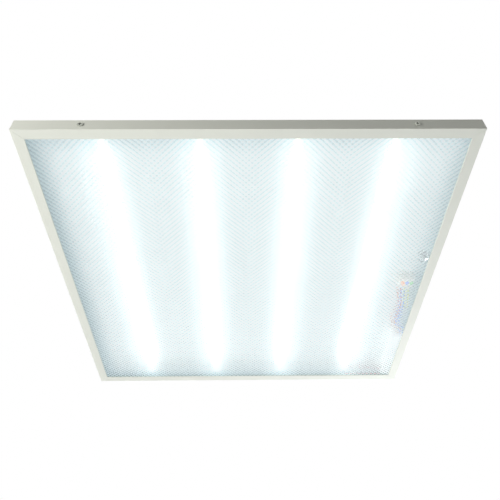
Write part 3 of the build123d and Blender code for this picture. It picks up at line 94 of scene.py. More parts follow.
class Value:
    """A number on its way through a node tree; Python's operators on it add Math nodes."""

    def __init__(self, shading: "Shading", socket: bpy.types.NodeSocket) -> None:
        """Wrap one output socket of a node tree.

        Args:
            shading: The tree that new nodes go into.
            socket: The output that carries the number.
        """
        self.shading = shading
        self.socket = socket

    def _math(self, operation: str, *terms: "Value | float") -> "Value":
        """Add a Math node.

        Args:
            operation: The node's operation.
            *terms: Its one to three inputs.

        Returns:
            The node's result.
        """
        inputs = dict(enumerate(terms))
        node = self.shading.node("ShaderNodeMath", {"operation": operation}, inputs)
        return Value(self.shading, node.outputs[0])

    def __add__(self, other: "Value | float") -> "Value":
        """Add another number."""
        return self._math("ADD", self, other)

    __radd__ = __add__

    def __sub__(self, other: "Value | float") -> "Value":
        """Take another number away."""
        return self._math("SUBTRACT", self, other)

    def __rsub__(self, other: float) -> "Value":
        """Take this number away from a plain one."""
        return self._math("SUBTRACT", other, self)

    def __mul__(self, other: "Value | float") -> "Value":
        """Multiply by another number."""
        return self._math("MULTIPLY", self, other)

    __rmul__ = __mul__

    def __lt__(self, other: "Value | float") -> "Value":
        """One where this number is the smaller, else nought."""
        return self._math("LESS_THAN", self, other)

    def __gt__(self, other: "Value | float") -> "Value":
        """One where this number is the larger, else nought."""
        return self._math("GREATER_THAN", self, other)

    def __abs__(self) -> "Value":
        """The number without its sign."""
        return self._math("ABSOLUTE", self)

    def largest(self, other: "Value | float") -> "Value":
        """The larger of two numbers."""
        return self._math("MAXIMUM", self, other)

    def smallest(self, other: "Value | float") -> "Value":
        """The smaller of two numbers."""
        return self._math("MINIMUM", self, other)

    def sine(self) -> "Value":
        """The sine of the number, in radians."""
        return self._math("SINE", self)

    def rise(self, low: float, high: float) -> "Value":
        """A smooth step.

        Args:
            low: Where the result is still nought.
            high: Where it has reached one.

        Returns:
            The step's height at this number.
        """
        inputs = {"Value": self, "From Min": low, "From Max": high}
        node = self.shading.node("ShaderNodeMapRange", {"interpolation_type": "SMOOTHSTEP"}, inputs)
        return Value(self.shading, node.outputs["Result"])


class Shading:
    """One node tree, and the few ways in which this object's finishes fill it."""

    def __init__(self, tree: bpy.types.NodeTree) -> None:
        """Start with an empty tree."""
        self.tree = tree
        self.tree.nodes.clear()

    def node(
        self,
        kind: str,
        settings: dict[str, Any] | None = None,
        inputs: dict[str | int, Any] | None = None,
    ) -> bpy.types.Node:
        """Add a node, make its settings first and then fill or link its sockets.

        Args:
            kind: The node's type.
            settings: Its own properties.
            inputs: Values or links by the sockets' names or numbers.

        Returns:
            The new node.
        """
        node = self.tree.nodes.new(kind)
        for name, setting in (settings or {}).items():
            setattr(node, name, setting)
        for name, value in (inputs or {}).items():
            self.feed(node.inputs[name], value)
        return node

    def feed(self, socket: bpy.types.NodeSocket, value: Any) -> None:
        """Link an output to a socket, or set the socket's own value.

        Args:
            socket: The input to fill.
            value: A number on its way, an output, or a plain value.
        """
        if isinstance(value, Value):
            self.tree.links.new(value.socket, socket)
        elif isinstance(value, bpy.types.NodeSocket):
            self.tree.links.new(value, socket)
        elif socket.type == "RGBA" and len(value) == 3:
            socket.default_value = with_alpha(value)
        else:
            socket.default_value = value

    def place(self) -> bpy.types.NodeSocket:
        """The place on the piece, which stays with the piece when it moves."""
        return self.node("ShaderNodeTexCoord").outputs["Object"]

    def facing(self) -> bpy.types.NodeSocket:
        """The way the surface faces, in the piece's own axes."""
        return self.node("ShaderNodeTexCoord").outputs["Normal"]

    def parts(self, vector: bpy.types.NodeSocket) -> list[Value]:
        """Split a vector into its three numbers."""
        node = self.node("ShaderNodeSeparateXYZ", inputs={"Vector": vector})
        return [Value(self, output) for output in node.outputs]

    def scaled(self, vector: bpy.types.NodeSocket, factors: Triple) -> bpy.types.NodeSocket:
        """Stretch a vector along its three axes."""
        node = self.node("ShaderNodeVectorMath", {"operation": "MULTIPLY"}, {0: vector, 1: factors})
        return node.outputs[0]

    def noise(self, vector: bpy.types.NodeSocket, size: float, detail: float = 2.0) -> Value:
        """Cloudy noise.

        Args:
            vector: Where to look it up.
            size: The width of one cloud, in metres.
            detail: Number of finer layers.

        Returns:
            A number about one half, from nought to one.
        """
        inputs = {"Vector": vector, "Scale": 1 / size, "Detail": detail}
        return Value(self, self.node("ShaderNodeTexNoise", inputs=inputs).outputs["Fac"])

    def specks(self, vector: bpy.types.NodeSocket, size: float) -> Value:
        """Distance to the nearest of many scattered points, in cells of the given width."""
        inputs = {"Vector": vector, "Scale": 1 / size}
        return Value(self, self.node("ShaderNodeTexVoronoi", inputs=inputs).outputs["Distance"])

    def mix(self, share: Value | float, first: Any, second: Any) -> bpy.types.NodeSocket:
        """Mix two colours.

        Args:
            share: How much of the second colour there is.
            first: The colour at nought.
            second: The colour at one.

        Returns:
            The mixed colour.
        """
        settings = {"data_type": "RGBA", "clamp_factor": True}
        return self.node("ShaderNodeMix", settings, {0: share, 6: first, 7: second}).outputs[2]

    def tinted(self, colour: Any, strength: Value | float) -> bpy.types.NodeSocket:
        """Scale a colour by a number."""
        inputs = {0: colour, "Scale": strength}
        return self.node("ShaderNodeVectorMath", {"operation": "SCALE"}, inputs).outputs[0]

    def bump(self, height: Value, depth: float) -> bpy.types.NodeSocket:
        """Turn a height into a bent normal.

        Args:
            height: Height from nought to one.
            depth: What a height of one stands for, in metres.

        Returns:
            The bent normal.
        """
        inputs = {"Height": height, "Distance": depth, "Strength": 1.0}
        return self.node("ShaderNodeBump", inputs=inputs).outputs["Normal"]

    def seen(self) -> Value:
        """Tell rays from the eye, straight or by way of gloss or glass, from the light's own.

        Returns:
            One for the eye's rays, else nought.
        """
        rays = self.node("ShaderNodeLightPath")
        seen = Value(self, rays.outputs["Is Camera Ray"])
        for kind in ("Is Glossy Ray", "Is Transmission Ray"):
            seen = seen.largest(Value(self, rays.outputs[kind]))
        return seen

    def surface(self, inputs: dict[str, Any]) -> None:
        """Show a Principled shader with these sockets set on the surface."""
        shader = self.node("ShaderNodeBsdfPrincipled", inputs=inputs)
        self.node("ShaderNodeOutputMaterial", inputs={"Surface": shader.outputs["BSDF"]})


def nearest_row(x: Value, rows: Iterable[float]) -> Value:
    """Work out how far a place is from the nearest of several rows.

    Args:
        x: Place across the rows.
        rows: The rows' own places.

    Returns:
        The distance.
    """
    nearest, *others = (abs(x - row) for row in rows)
    for distance in others:
        nearest = nearest.smallest(distance)
    return nearest


@dataclass(frozen=True)
class Finish:
    """What every finish has: a name, and a way to fill its material."""

    name: str

    def fill(self, shading: Shading) -> None:
        """Fill the material's node tree."""
        raise NotImplementedError

    @cache
    def material(self) -> bpy.types.Material:
        """Make the finish's material, or find it again.

        Returns:
            The one material of this finish.
        """
        made = bpy.data.materials.new(self.name)
        made.use_nodes = True
        # what glows here is seen but not aimed at, so the studio's lamps get every light sample
        made.cycles.emission_sampling = "NONE"
        self.fill(Shading(made.node_tree))
        return made


# --- Finishes ---


@dataclass(frozen=True)
class PowderPaint(Finish):
    """Smooth powder coat: faint orange peel, slight clouding and a little dust."""

    colour: Colour
    roughness: float = 0.38
    roughness_spread: float = 0.12
    specular: float = 0.3
    peel_size: float = 1.1 * MM
    peel_depth: float = 0.006 * MM
    cloud_size: float = 60 * MM
    clouding: float = 0.03
    dust: float = 0.05
    dust_pitch: float = 0.9 * MM
    dust_edge: tuple[float, float] = (0.05, 0.18)
    dust_colour: Colour = (0.45, 0.44, 0.40)

    def coat(self, shading: Shading) -> dict[str, Any]:
        """Work out the paint's sockets, for the paint alone or under a glow.

        Args:
            shading: The material's tree.

        Returns:
            The Principled shader's values and links, by socket.
        """
        place = shading.place()
        clouds = shading.noise(place, self.cloud_size, 3.0)
        dust = shading.specks(place, self.dust_pitch)
        speckle = (1 - dust.rise(*self.dust_edge)) * self.dust
        shaded = shading.tinted(self.colour, 1 + (clouds - 0.5) * self.clouding)
        peel = shading.noise(place, self.peel_size, 1.0)
        return {
            "Base Color": shading.mix(speckle, shaded, self.dust_colour),
            "Roughness": self.roughness + (clouds - 0.5) * self.roughness_spread + speckle,
            "Specular IOR Level": self.specular,
            "Normal": shading.bump(peel, self.peel_depth),
        }

    def fill(self, shading: Shading) -> None:
        """Fill the material with the plain coat."""
        shading.surface(self.coat(shading))


@dataclass(frozen=True)
class LampGlow:
    """Light that the rows of LEDs throw over the inside of the tray."""

    board_xs: tuple[float, ...]
    half_length: float
    wall: float
    ceiling: float
    between: Colour = (0.075, 0.11, 0.12)
    beside: Colour = (0.13, 0.17, 0.17)
    on_walls: Colour = (0.02, 0.06, 0.08)
    edge_share: float = 0.55
    edge_width: float = 50 * MM
    spread: float = 22 * MM
    end_fade: float = 16 * MM
    board_half: float = 6 * MM
    wall_skin: float = 0.3 * MM
    downward: float = -0.3  # how far a lit face's normal points down at least

    def colour(self, shading: Shading) -> bpy.types.NodeSocket:
        """Work out the light's colour over the tray's inner faces, black elsewhere.

        Args:
            shading: The material's tree.

        Returns:
            The light's colour.
        """
        x, y, z = shading.parts(shading.place())
        face_x, face_y, face_z = shading.parts(shading.facing())
        nearest = nearest_row(x, self.board_xs)
        beside = 1 - nearest.rise(self.board_half, self.board_half + self.spread)
        past_end = (abs(y) - self.half_length).rise(-self.end_fade, self.end_fade)
        back = shading.mix(beside * (1 - past_end), self.between, self.beside)
        towards_edge = abs(x).largest(abs(y))
        dimming = towards_edge.rise(self.wall - self.edge_width, self.wall) * (1 - self.edge_share)
        back = shading.tinted(back, 1 - dimming)
        on_wall = towards_edge > self.wall - self.wall_skin
        faces_in = (x * face_x + y * face_y) < 0
        looks_down = face_z < self.downward
        under_back = z < self.ceiling
        lit = looks_down.largest(on_wall * faces_in * under_back)
        colour = shading.mix(on_wall, back, self.on_walls)
        return shading.tinted(colour, lit)


@dataclass(frozen=True, kw_only=True)
class LitPaint(PowderPaint):
    """Gloss white tray paint, lit by the lamps on the tray's inner side."""

    glow: LampGlow
    strength: float = 1.0

    def fill(self, shading: Shading) -> None:
        """Fill the material with the coat and the lamps' light on it.

        Args:
            shading: The material's tree.
        """
        inputs = self.coat(shading)
        inputs["Emission Color"] = self.glow.colour(shading)
        inputs["Emission Strength"] = self.strength
        shading.surface(inputs)


@dataclass(frozen=True)
class TrayLight:
    """The lamps' light on a piece inside the tray, some of it veiled by the diffuser's haze."""

    strength: float
    veil: float = 0.0
    veil_colour: Colour = (0.8, 0.85, 0.85)
    ceiling: float = 18.8 * MM

    def add_to(self, shading: Shading, inputs: dict[str, Any], colour: Any) -> None:
        """Add the light to a Principled shader's sockets, below the tray's back only.

        Args:
            shading: The material's tree.
            inputs: The sockets' values so far.
            colour: The piece's own colour.
        """
        height = shading.parts(shading.place())[2]
        veiled = shading.mix(self.veil, colour, self.veil_colour)
        inputs["Emission Color"] = shading.tinted(veiled, height < self.ceiling)
        inputs["Emission Strength"] = self.strength


@dataclass(frozen=True)
class Moulding(Finish):
    """Moulded plastic or rubber with a fine spark-eroded grain."""

    colour: Colour
    roughness: float = 0.45
    grain_size: float = 0.5 * MM
    grain_depth: float = 0.01 * MM
    roughness_spread: float = 0.15
    cloud_size: float = 14 * MM
    clouding: float = 0.08
    light: TrayLight | None = None

    def fill(self, shading: Shading) -> None:
        """Fill the material: grain, clouded colour, and light thrown on it inside the tray.

        Args:
            shading: The material's tree.
        """
        place = shading.place()
        grain = shading.noise(place, self.grain_size)
        clouds = shading.noise(place, self.cloud_size)
        colour = shading.tinted(self.colour, 1 + (clouds - 0.5) * self.clouding)
        inputs = {
            "Base Color": colour,
            "Roughness": self.roughness + (grain - 0.5) * self.roughness_spread,
            "Normal": shading.bump(grain, self.grain_depth),
        }
        if self.light:
            self.light.add_to(shading, inputs, colour)
        shading.surface(inputs)


@dataclass(frozen=True)
class Plating(Finish):
    """Bare or plated metal with fine rolling lines and a trace of tarnish."""

    colour: Colour
    tarnish: Colour
    roughness: float = 0.3
    line_stretch: Triple = (1.0, 12.0, 1.0)
    line_size: float = 1.6 * MM
    line_depth: float = 0.004 * MM
    line_roughness: float = 0.2
    cloud_size: float = 5 * MM
    cloud_edge: tuple[float, float] = (0.4, 0.75)
    cloud_roughness: float = 0.1
    tarnish_share: float = 0.5
    light: TrayLight | None = None

    def fill(self, shading: Shading) -> None:
        """Fill the material: rolling lines, tarnish in clouds, and light thrown on it.

        Args:
            shading: The material's tree.
        """
        place = shading.place()
        lines = shading.noise(shading.scaled(place, self.line_stretch), self.line_size, 3.0)
        clouds = shading.noise(place, self.cloud_size, 3.0).rise(*self.cloud_edge)
        colour = shading.mix(clouds * self.tarnish_share, self.colour, self.tarnish)
        rough_lines = (lines - 0.5) * self.line_roughness
        inputs = {
            "Base Color": colour,
            "Metallic": 1.0,
            "Roughness": self.roughness + rough_lines + clouds * self.cloud_roughness,
            "Normal": shading.bump(lines, self.line_depth),
        }
        if self.light:
            self.light.add_to(shading, inputs, colour)
        shading.surface(inputs)


@dataclass(frozen=True)
class EndFade:
    """The way a lamp row's light falls off at the row's two ends."""

    reach: float = 252 * MM
    width: float = 14 * MM
    rest: float = 0.15

    def at(self, y: Value) -> Value:
        """The share of the light that is left at a place along the row."""
        return 1 - abs(y).rise(self.reach - self.width, self.reach + self.width) * (1 - self.rest)


@dataclass(frozen=True)
class SolderMask(Finish):
    """Lacquered circuit board: mask colour over slightly raised tracks."""

    mask: Colour
    track: Colour
    track_pitch: float = 2.2 * MM
    track_edge: tuple[float, float] = (0.35, 0.6)
    track_height: float = 0.03 * MM
    track_roughness: float = 0.08
    roughness: float = 0.32
    wander: float = 18.0  # radians by which the tracks swerve
    wander_size: float = 9 * MM
    lit: float = 0.0
    ends: EndFade = EndFade()

    def fill(self, shading: Shading) -> None:
        """Fill the material: tracks seen through the lacquer, and light that fades at the ends.

        Args:
            shading: The material's tree.
        """
        place = shading.place()
        x, y, _ = shading.parts(place)
        swerve = shading.noise(place, self.wander_size, 1.0) * self.wander
        wave = (x * (math.tau / self.track_pitch) + swerve).sine()
        tracks = wave.rise(*self.track_edge)
        colour = shading.mix(tracks, self.mask, self.track)
        inputs = {
            "Base Color": colour,
            "Roughness": self.roughness + tracks * self.track_roughness,
            "Normal": shading.bump(tracks, self.track_height),
        }
        if self.lit:
            inputs["Emission Color"] = shading.tinted(colour, self.ends.at(y))
            inputs["Emission Strength"] = self.lit
        shading.surface(inputs)


@dataclass(frozen=True)
class Phosphor(Finish):
    """The yellow phosphor window of a lit LED, blown out to cool white."""

    colour: Colour = (0.95, 0.80, 0.35)
    light: Colour = (0.95, 0.99, 1.0)
    strength: float = 3.5
    ends: EndFade = EndFade()
    roughness: float = 0.3
    grain_size: float = 0.12 * MM
    grain_depth: float = 0.01 * MM
    graininess: float = 0.1

    def fill(self, shading: Shading) -> None:
        """Fill the material: grainy phosphor and its light.

        Args:
            shading: The material's tree.
        """
        place = shading.place()
        grain = shading.noise(place, self.grain_size, 1.0)
        mottle = (grain - 0.5) * self.graininess
        shine = (1 + mottle) * self.ends.at(shading.parts(place)[1])
        inputs = {
            "Base Color": shading.tinted(self.colour, 1 + mottle * 2),
            "Roughness": self.roughness + grain * self.graininess,
            "Emission Color": shading.tinted(self.light, shine),
            "Emission Strength": self.strength,
            "Normal": shading.bump(grain, self.grain_depth),
        }
        shading.surface(inputs)


class Insulation(Enum):
    """Colours of wire insulation."""

    BROWN = (0.42, 0.10, 0.04)
    BLUE = (0.04, 0.16, 0.62)
    GREEN = (0.03, 0.30, 0.06)
    YELLOW = (0.85, 0.72, 0.04)
    RED = (0.72, 0.04, 0.03)
    BLACK = (0.03, 0.03, 0.03)
    WHITE = (0.86, 0.86, 0.84)


@dataclass(frozen=True)
class WireInsulation(Finish):
    """Extruded insulation in one colour, or with a stripe of a second one along it."""

    base: Insulation
    stripe: Insulation | None = None
    light: TrayLight = TrayLight(0.4, 0.6)
    roughness: float = 0.35
    roughness_spread: float = 0.15
    mark_stretch: Triple = (1.0, 0.15, 1.0)
    mark_size: float = 0.6 * MM
    mark_depth: float = 0.01 * MM
    marking: float = 0.12
    stripe_edge: tuple[float, float] = (0.55, 0.6)

    def fill(self, shading: Shading) -> None:
        """Fill the material: stripe, faint draw marks, and light thrown on it.

        Args:
            shading: The material's tree.
        """
        place = shading.place()
        marks = shading.noise(shading.scaled(place, self.mark_stretch), self.mark_size)
        if self.stripe is None:
            colour = shading.tinted(self.base.value, 1 + (marks - 0.5) * self.marking)
        else:
            face_z = shading.parts(shading.facing())[2]
            band = abs(face_z).rise(*self.stripe_edge)
            colour = shading.mix(band, self.base.value, self.stripe.value)
        inputs = {
            "Base Color": colour,
            "Roughness": self.roughness + marks * self.roughness_spread,
            "Normal": shading.bump(marks, self.mark_depth),
        }
        self.light.add_to(shading, inputs, colour)
        shading.surface(inputs)


@dataclass(frozen=True)
class ClearAcrylic(Finish):
    """Clear extruded acrylic with fine rolling marks, a faint painted glow and painted valley
    shade.
    """

    row_pitch: float
    board_xs: tuple[float, ...]
    half: float
    tint: Colour = (0.97, 0.985, 0.99)
    # painted glow: emission in the haze colour standing for the lamps' light scattered in the
    # sheet, brighter over the lamp rows
    haze: Colour = (0.82, 0.90, 0.92)
    base_glow_strength: float = 0.11
    edge_glow_colour: Colour = (0.66, 0.88, 0.96)
    glow_strength: float = 0.088
    glow_width: float = 45 * MM
    spread: float = 1.02
    # line_depth: how dark the painted shade along the prism valleys is
    line_depth: float = 0.175
    far_softening: float = 0.35  # how much fainter the painted valley shade is at the far edge
    edge_width: float = 36 * MM
    edge_dimming: float = 0.32
    lean: float = 0.4  # how much dimmer the painted glow is at the left edge than in the middle
    slant: float = 0.38  # how far the painted shade of one set of valleys gives way to the other
    roughness: float = 0.09
    mark_size: float = 0.8 * MM
    mark_roughness: float = 0.05
    cloud_size: float = 30 * MM
    glow_clouding: float = 0.2
    tint_clouding: float = 0.03
    refraction: float = 1.49

    def fill(self, shading: Shading) -> None:
        """Fill the material: clear body, painted glow for scattered light, and painted shade on
        prism rows by the lamps.

        Args:
            shading: The material's tree.
        """
        place = shading.place()
        clouds = shading.noise(place, self.cloud_size) - 0.5
        marks = shading.noise(place, self.mark_size)
        x, y, _ = shading.parts(place)
        edge = abs(x).largest(abs(y)).rise(self.half - self.edge_width, self.half)
        edge = edge * (1 - x * (self.lean / self.half))
        # painted shade along the prism valleys, fainter towards the far edge; it darkens the tint
        # and the painted glow
        depth = (1 - y.rise(0.0, self.half) * self.far_softening) * self.line_depth
        lines = 1 - self._painted_valley_shade(x, y) * depth
        # painted glow: an even base plus bands over the lamp rows, dimmer towards the edges and
        # bluer there
        glow = self.base_glow_strength + self._band(x) * self.glow_strength
        glow = glow * (1 - edge * self.edge_dimming) * (1 + clouds * self.glow_clouding)
        haze = shading.mix(edge, self.haze, self.edge_glow_colour)
        inputs = {
            "Base Color": shading.tinted(self.tint, (1 + clouds * self.tint_clouding) * lines),
            "Roughness": self.roughness + marks * self.mark_roughness,
            "Transmission Weight": 1.0,
            "IOR": self.refraction,
            "Emission Color": shading.tinted(haze, glow * lines),
            "Emission Strength": 1.0,
        }
        shading.surface(inputs)

    def _one_slant_valley_shade(self, across: Value) -> Value:
        """The painted shade along one set of prism valleys, from nought to one, at a distance
        across them.
        """
        step = math.tau / self.row_pitch / math.sqrt(2)
        return (across * step + math.pi / 2).sine() * 0.5 + 0.5

    def _painted_valley_shade(self, x: Value, y: Value) -> Value:
        """Work out the painted shade along the prism valleys: one slant shows left of each lamp
        row, the other right.

        Args:
            x: Place across the lamp rows.
            y: Place along them.

        Returns:
            The painted valley shade's strength, from nought to one.
        """
        pitch = self.board_xs[1] - self.board_xs[0]
        side = ((x - self.board_xs[0]) * (math.tau / pitch)).sine() * self.slant + 0.5
        return self._one_slant_valley_shade(x + y) * (1 - side) + self._one_slant_valley_shade(x - y) * side

    def _band(self, x: Value) -> Value:
        """Work out how near a place is to its lamp row.

        Args:
            x: Place across the lamp rows.

        Returns:
            One on a row and nought away from all.
        """
        rows = [board_x * self.spread for board_x in self.board_xs]
        return 1 - nearest_row(x, rows).rise(0.0, self.glow_width)


@dataclass(frozen=True)
class StudioFloor(Finish):
    """Plain floor with the faintest mottling, pale to the eye but not a light on the object."""

    colour: Colour = (0.86, 0.86, 0.86)
    paleness: float = 0.6
    cloud_size: float = 0.4
    mottling: float = 0.02
    roughness: float = 0.8
    roughness_spread: float = 0.1

    def fill(self, shading: Shading) -> None:
        """Fill the material: matt floor that takes shadows, pale to the eye and in reflections.

        Args:
            shading: The material's tree.
        """
        clouds = shading.noise(shading.place(), self.cloud_size)
        shade = shading.tinted(self.colour, 1 + (clouds - 0.5) * self.mottling)
        inputs = {
            "Base Color": shade,
            "Roughness": self.roughness + clouds * self.roughness_spread,
            "Emission Color": shading.tinted(shade, shading.seen() * self.paleness),
            "Emission Strength": 1.0,
        }
        shading.surface(inputs)


# --- Mesh tools ---


def add_object(name: str, data: bpy.types.ID) -> bpy.types.Object:
    """Put an object into the scene.

    Args:
        name: The object's name.
        data: Its mesh, light or camera.

    Returns:
        The new object.
    """
    thing = bpy.data.objects.new(name, data)
    bpy.context.scene.collection.objects.link(thing)
    return thing


def add_mesh(name: str, mesh: bmesh.types.BMesh, finishes: list[Finish]) -> bpy.types.Object:
    """Turn mesh code's result into an object.

    Args:
        name: The object's name.
        mesh: Its shape, which is freed.
        finishes: Its materials, by the faces' material numbers.

    Returns:
        The new object.
    """
    data = bpy.data.meshes.new(name)
    mesh.to_mesh(data)
    mesh.free()
    for finish in finishes:
        data.materials.append(finish.material())
    return add_object(name, data)


def make_piece(
    name: str, mesh: bmesh.types.BMesh, finishes: list[Finish], stands_for: str
) -> None:
    """Turn mesh code's result into a piece of the object.

    Args:
        name: The piece's name.
        mesh: Its shape, which is freed.
        finishes: Its materials, by the faces' material numbers.
        stands_for: The CAD node that it replaces.
    """
    piece = add_mesh(name, mesh, finishes)
    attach(piece, LUMINAIRE)
    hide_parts(stands_for)
    log.info("%s: %d faces, stands for %s", name, len(piece.data.polygons), stands_for)


def lathe(
    mesh: bmesh.types.BMesh, profile: list[tuple[float, float]], place: Matrix, segments: int = 40
) -> list[list[bmesh.types.BMVert]]:
    """Turn a profile about the local Z axis.

    Args:
        mesh: Where the surface goes.
        profile: Radius and height of each ring.
        place: From the turned shape's own axes to the piece's.
        segments: Number of steps round.

    Returns:
        The rings of vertices, in the profile's order.
    """
    rings = []
    for radius, height in profile:
        ring = []
        for i in range(segments):
            angle = math.tau * i / segments
            local = Vector((radius * math.cos(angle), radius * math.sin(angle), height))
            ring.append(mesh.verts.new(place @ local))
        rings.append(ring)
    for lower, upper in zip(rings, rings[1:]):
        for i in range(segments):
            j = (i + 1) % segments
            mesh.faces.new((lower[i], lower[j], upper[j], upper[i]))
    return rings


@dataclass(frozen=True)
class PanHeadScrew:
    """Pan-head screw with a cross recess: domed head outwards from its seat, shank inwards."""

    head_radius: float
    head_height: float
    shank_radius: float
    shank_length: float
    thread_pitch: float = 1.0 * MM
    thread_depth: float = 0.22 * MM
    thread_turn: Triple = (0.15, 0.5, 0.85)  # crest's end, root and next crest, to the pitch
    tip_share: float = 0.1
    rim_share: float = 0.28  # the straight rim's part of the head's height
    recess_share: float = 0.66
    recess_margin: float = 1.12  # the flat's radius to the recess's reach
    recess_width: float = 1.3 * MM
    recess_taper: tuple[float, float] = (0.55, 0.7)  # the floor's reach and width to the mouth's
    recess_floor: float = 0.25  # height of the recess's floor to the head's
    dome_steps: int = 7

    def add_to(self, mesh: bmesh.types.BMesh, seat: Vector, outwards: Vector) -> None:
        """Add the screw to a mesh.

        Args:
            mesh: Where it goes.
            seat: The middle of the head's seat.
            outwards: The direction in which the head stands.
        """
        turn = outwards.to_track_quat("Z", "Y").to_matrix().to_4x4()
        place = Matrix.Translation(seat) @ turn
        flat = self.recess_share * self.head_radius * self.recess_margin
        profile = [(self.shank_radius, 0.0), (self.head_radius, 0.0)]
        for i in range(self.dome_steps + 1):
            angle = math.pi / 2 * i / self.dome_steps
            radius = flat + (self.head_radius - flat) * math.cos(angle)
            rise = self.rim_share + (1 - self.rim_share) * math.sin(angle)
            profile.append((radius, self.head_height * rise))
        rings = lathe(mesh, profile, place)
        self._add_recess(mesh, rings[-1], place)
        lathe(mesh, self._thread_profile(), place)

    def _thread_profile(self) -> list[tuple[float, float]]:
        """Work out the shank's rings.

        Returns:
            Radius and height of each ring, from the seat to the tip.
        """
        crest = self.shank_radius
        root = crest - self.thread_depth
        profile = [(crest, 0.0)]
        height = 0.0
        while height < self.shank_length - 2 * self.thread_pitch:
            for radius, share in zip((crest, root, crest), self.thread_turn):
                profile.append((radius, -height - share * self.thread_pitch))
            height += self.thread_pitch
        profile.append((root, -self.shank_length + self.thread_pitch))
        profile.append((self.tip_share * root, -self.shank_length))
        return profile

    def _add_recess(
        self, mesh: bmesh.types.BMesh, rim: list[bmesh.types.BMVert], place: Matrix
    ) -> None:
        """Sink a tapered cross into the head's flat.

        Args:
            mesh: The screw's mesh.
            rim: The dome's last ring, round the flat.
            place: From the screw's own axes to the piece's.
        """
        reach = self.recess_share * self.head_radius
        half = self.recess_width / 2
        top = self.head_height
        floor_reach, floor_half = reach * self.recess_taper[0], half * self.recess_taper[1]
        sizes = ((reach, half, top), (floor_reach, floor_half, top * self.recess_floor))
        loops = []
        for size, width, height in sizes:
            loop = []
            for quarter in range(4):
                turn = Matrix.Rotation(math.pi / 2 * quarter, 4, "Z")
                for x, y in ((size, -width), (size, width), (width, width)):
                    loop.append(mesh.verts.new(place @ turn @ Vector((x, y, height))))
            loops.append(loop)
        mouth, floor = loops
        count = len(mouth)
        recess = [mesh.faces.new(floor)]
        for i in range(count):
            j = (i + 1) % count
            recess.append(mesh.faces.new((mouth[j], mouth[i], floor[i], floor[j])))
        # the recess's faces take the second finish, which holds the painted shade
        for face in recess:
            face.material_index = 1
        edges = []
        for loop in (rim, mouth):
            for i, vertex in enumerate(loop):
                other = loop[(i + 1) % len(loop)]
                edges.append(mesh.edges.get((vertex, other)) or mesh.edges.new((vertex, other)))
        bmesh.ops.triangle_fill(mesh, use_beauty=True, edges=edges)


# --- Sub-assemblies ---


@dataclass
class SubAssembly:
    """A part of the light that is at least partly made of the frame's CAD nodes."""

    frame: dict[str, Any]

    def dress(self, finish: Finish, *nodes: str) -> None:
        """Give CAD nodes a finish.

        Args:
            finish: What they are finished in.
            *nodes: The nodes' names.
        """
        for name in nodes:
            node = self.frame["nodes"][name]
            if not node.material_slots:
                node.data.materials.append(None)
            for slot in node.material_slots:
                slot.material = finish.material()
        log.info("%s: %s", finish.name, ", ".join(nodes))


@dataclass
class PaintedFrame(SubAssembly):
    """Four mitred rails, their corner keys and the side screws."""

    paint: PowderPaint = PowderPaint(
        "cream powder paint", (0.785, 0.80, 0.735), peel_depth=0.004 * MM
    )
    zinc: Plating = Plating("zinc plate", (0.50, 0.52, 0.46), (0.36, 0.37, 0.33), 0.5)
    # near-black on the recesses' faces: painted shade where the cross recess lies in shadow
    recess: Moulding = Moulding("painted shade screw recess", (0.035, 0.038, 0.034), 0.8)
    screw_xs: tuple[float, ...] = (-212 * MM, 212 * MM)
    shank_radius: float = 1.6 * MM
    shank_length: float = 6.5 * MM
    sides: tuple[str, ...] = ("near", "right", "far", "left")

    def build(self) -> None:
        """Paint the rails, plate the keys and make the screws anew."""
        self.dress(self.paint, *[f"frame_rail_{side}" for side in self.sides])
        corners = ("near_left", "near_right", "far_right", "far_left")
        self.dress(self.zinc, *[f"corner_key_{corner}" for corner in corners])
        self._build_screws()

    def _build_screws(self) -> None:
        """Make the pan-head screws in the near and far walls."""
        low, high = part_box("frame_screws")
        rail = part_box("frame_rail_near")[0]
        head_height = rail.y - low.y
        radius = (high.z - low.z) / 2
        screw = PanHeadScrew(radius, head_height, self.shank_radius, self.shank_length)
        level = (high.z + low.z) / 2
        mesh = bmesh.new()
        for x in self.screw_xs:
            screw.add_to(mesh, Vector((x, rail.y, level)), Vector((0, -1, 0)))
            screw.add_to(mesh, Vector((x, -rail.y, level)), Vector((0, 1, 0)))
        # zinc on heads and shanks, painted shade in the recesses
        make_piece("side_screws", mesh, [self.zinc, self.recess], "frame_screws")


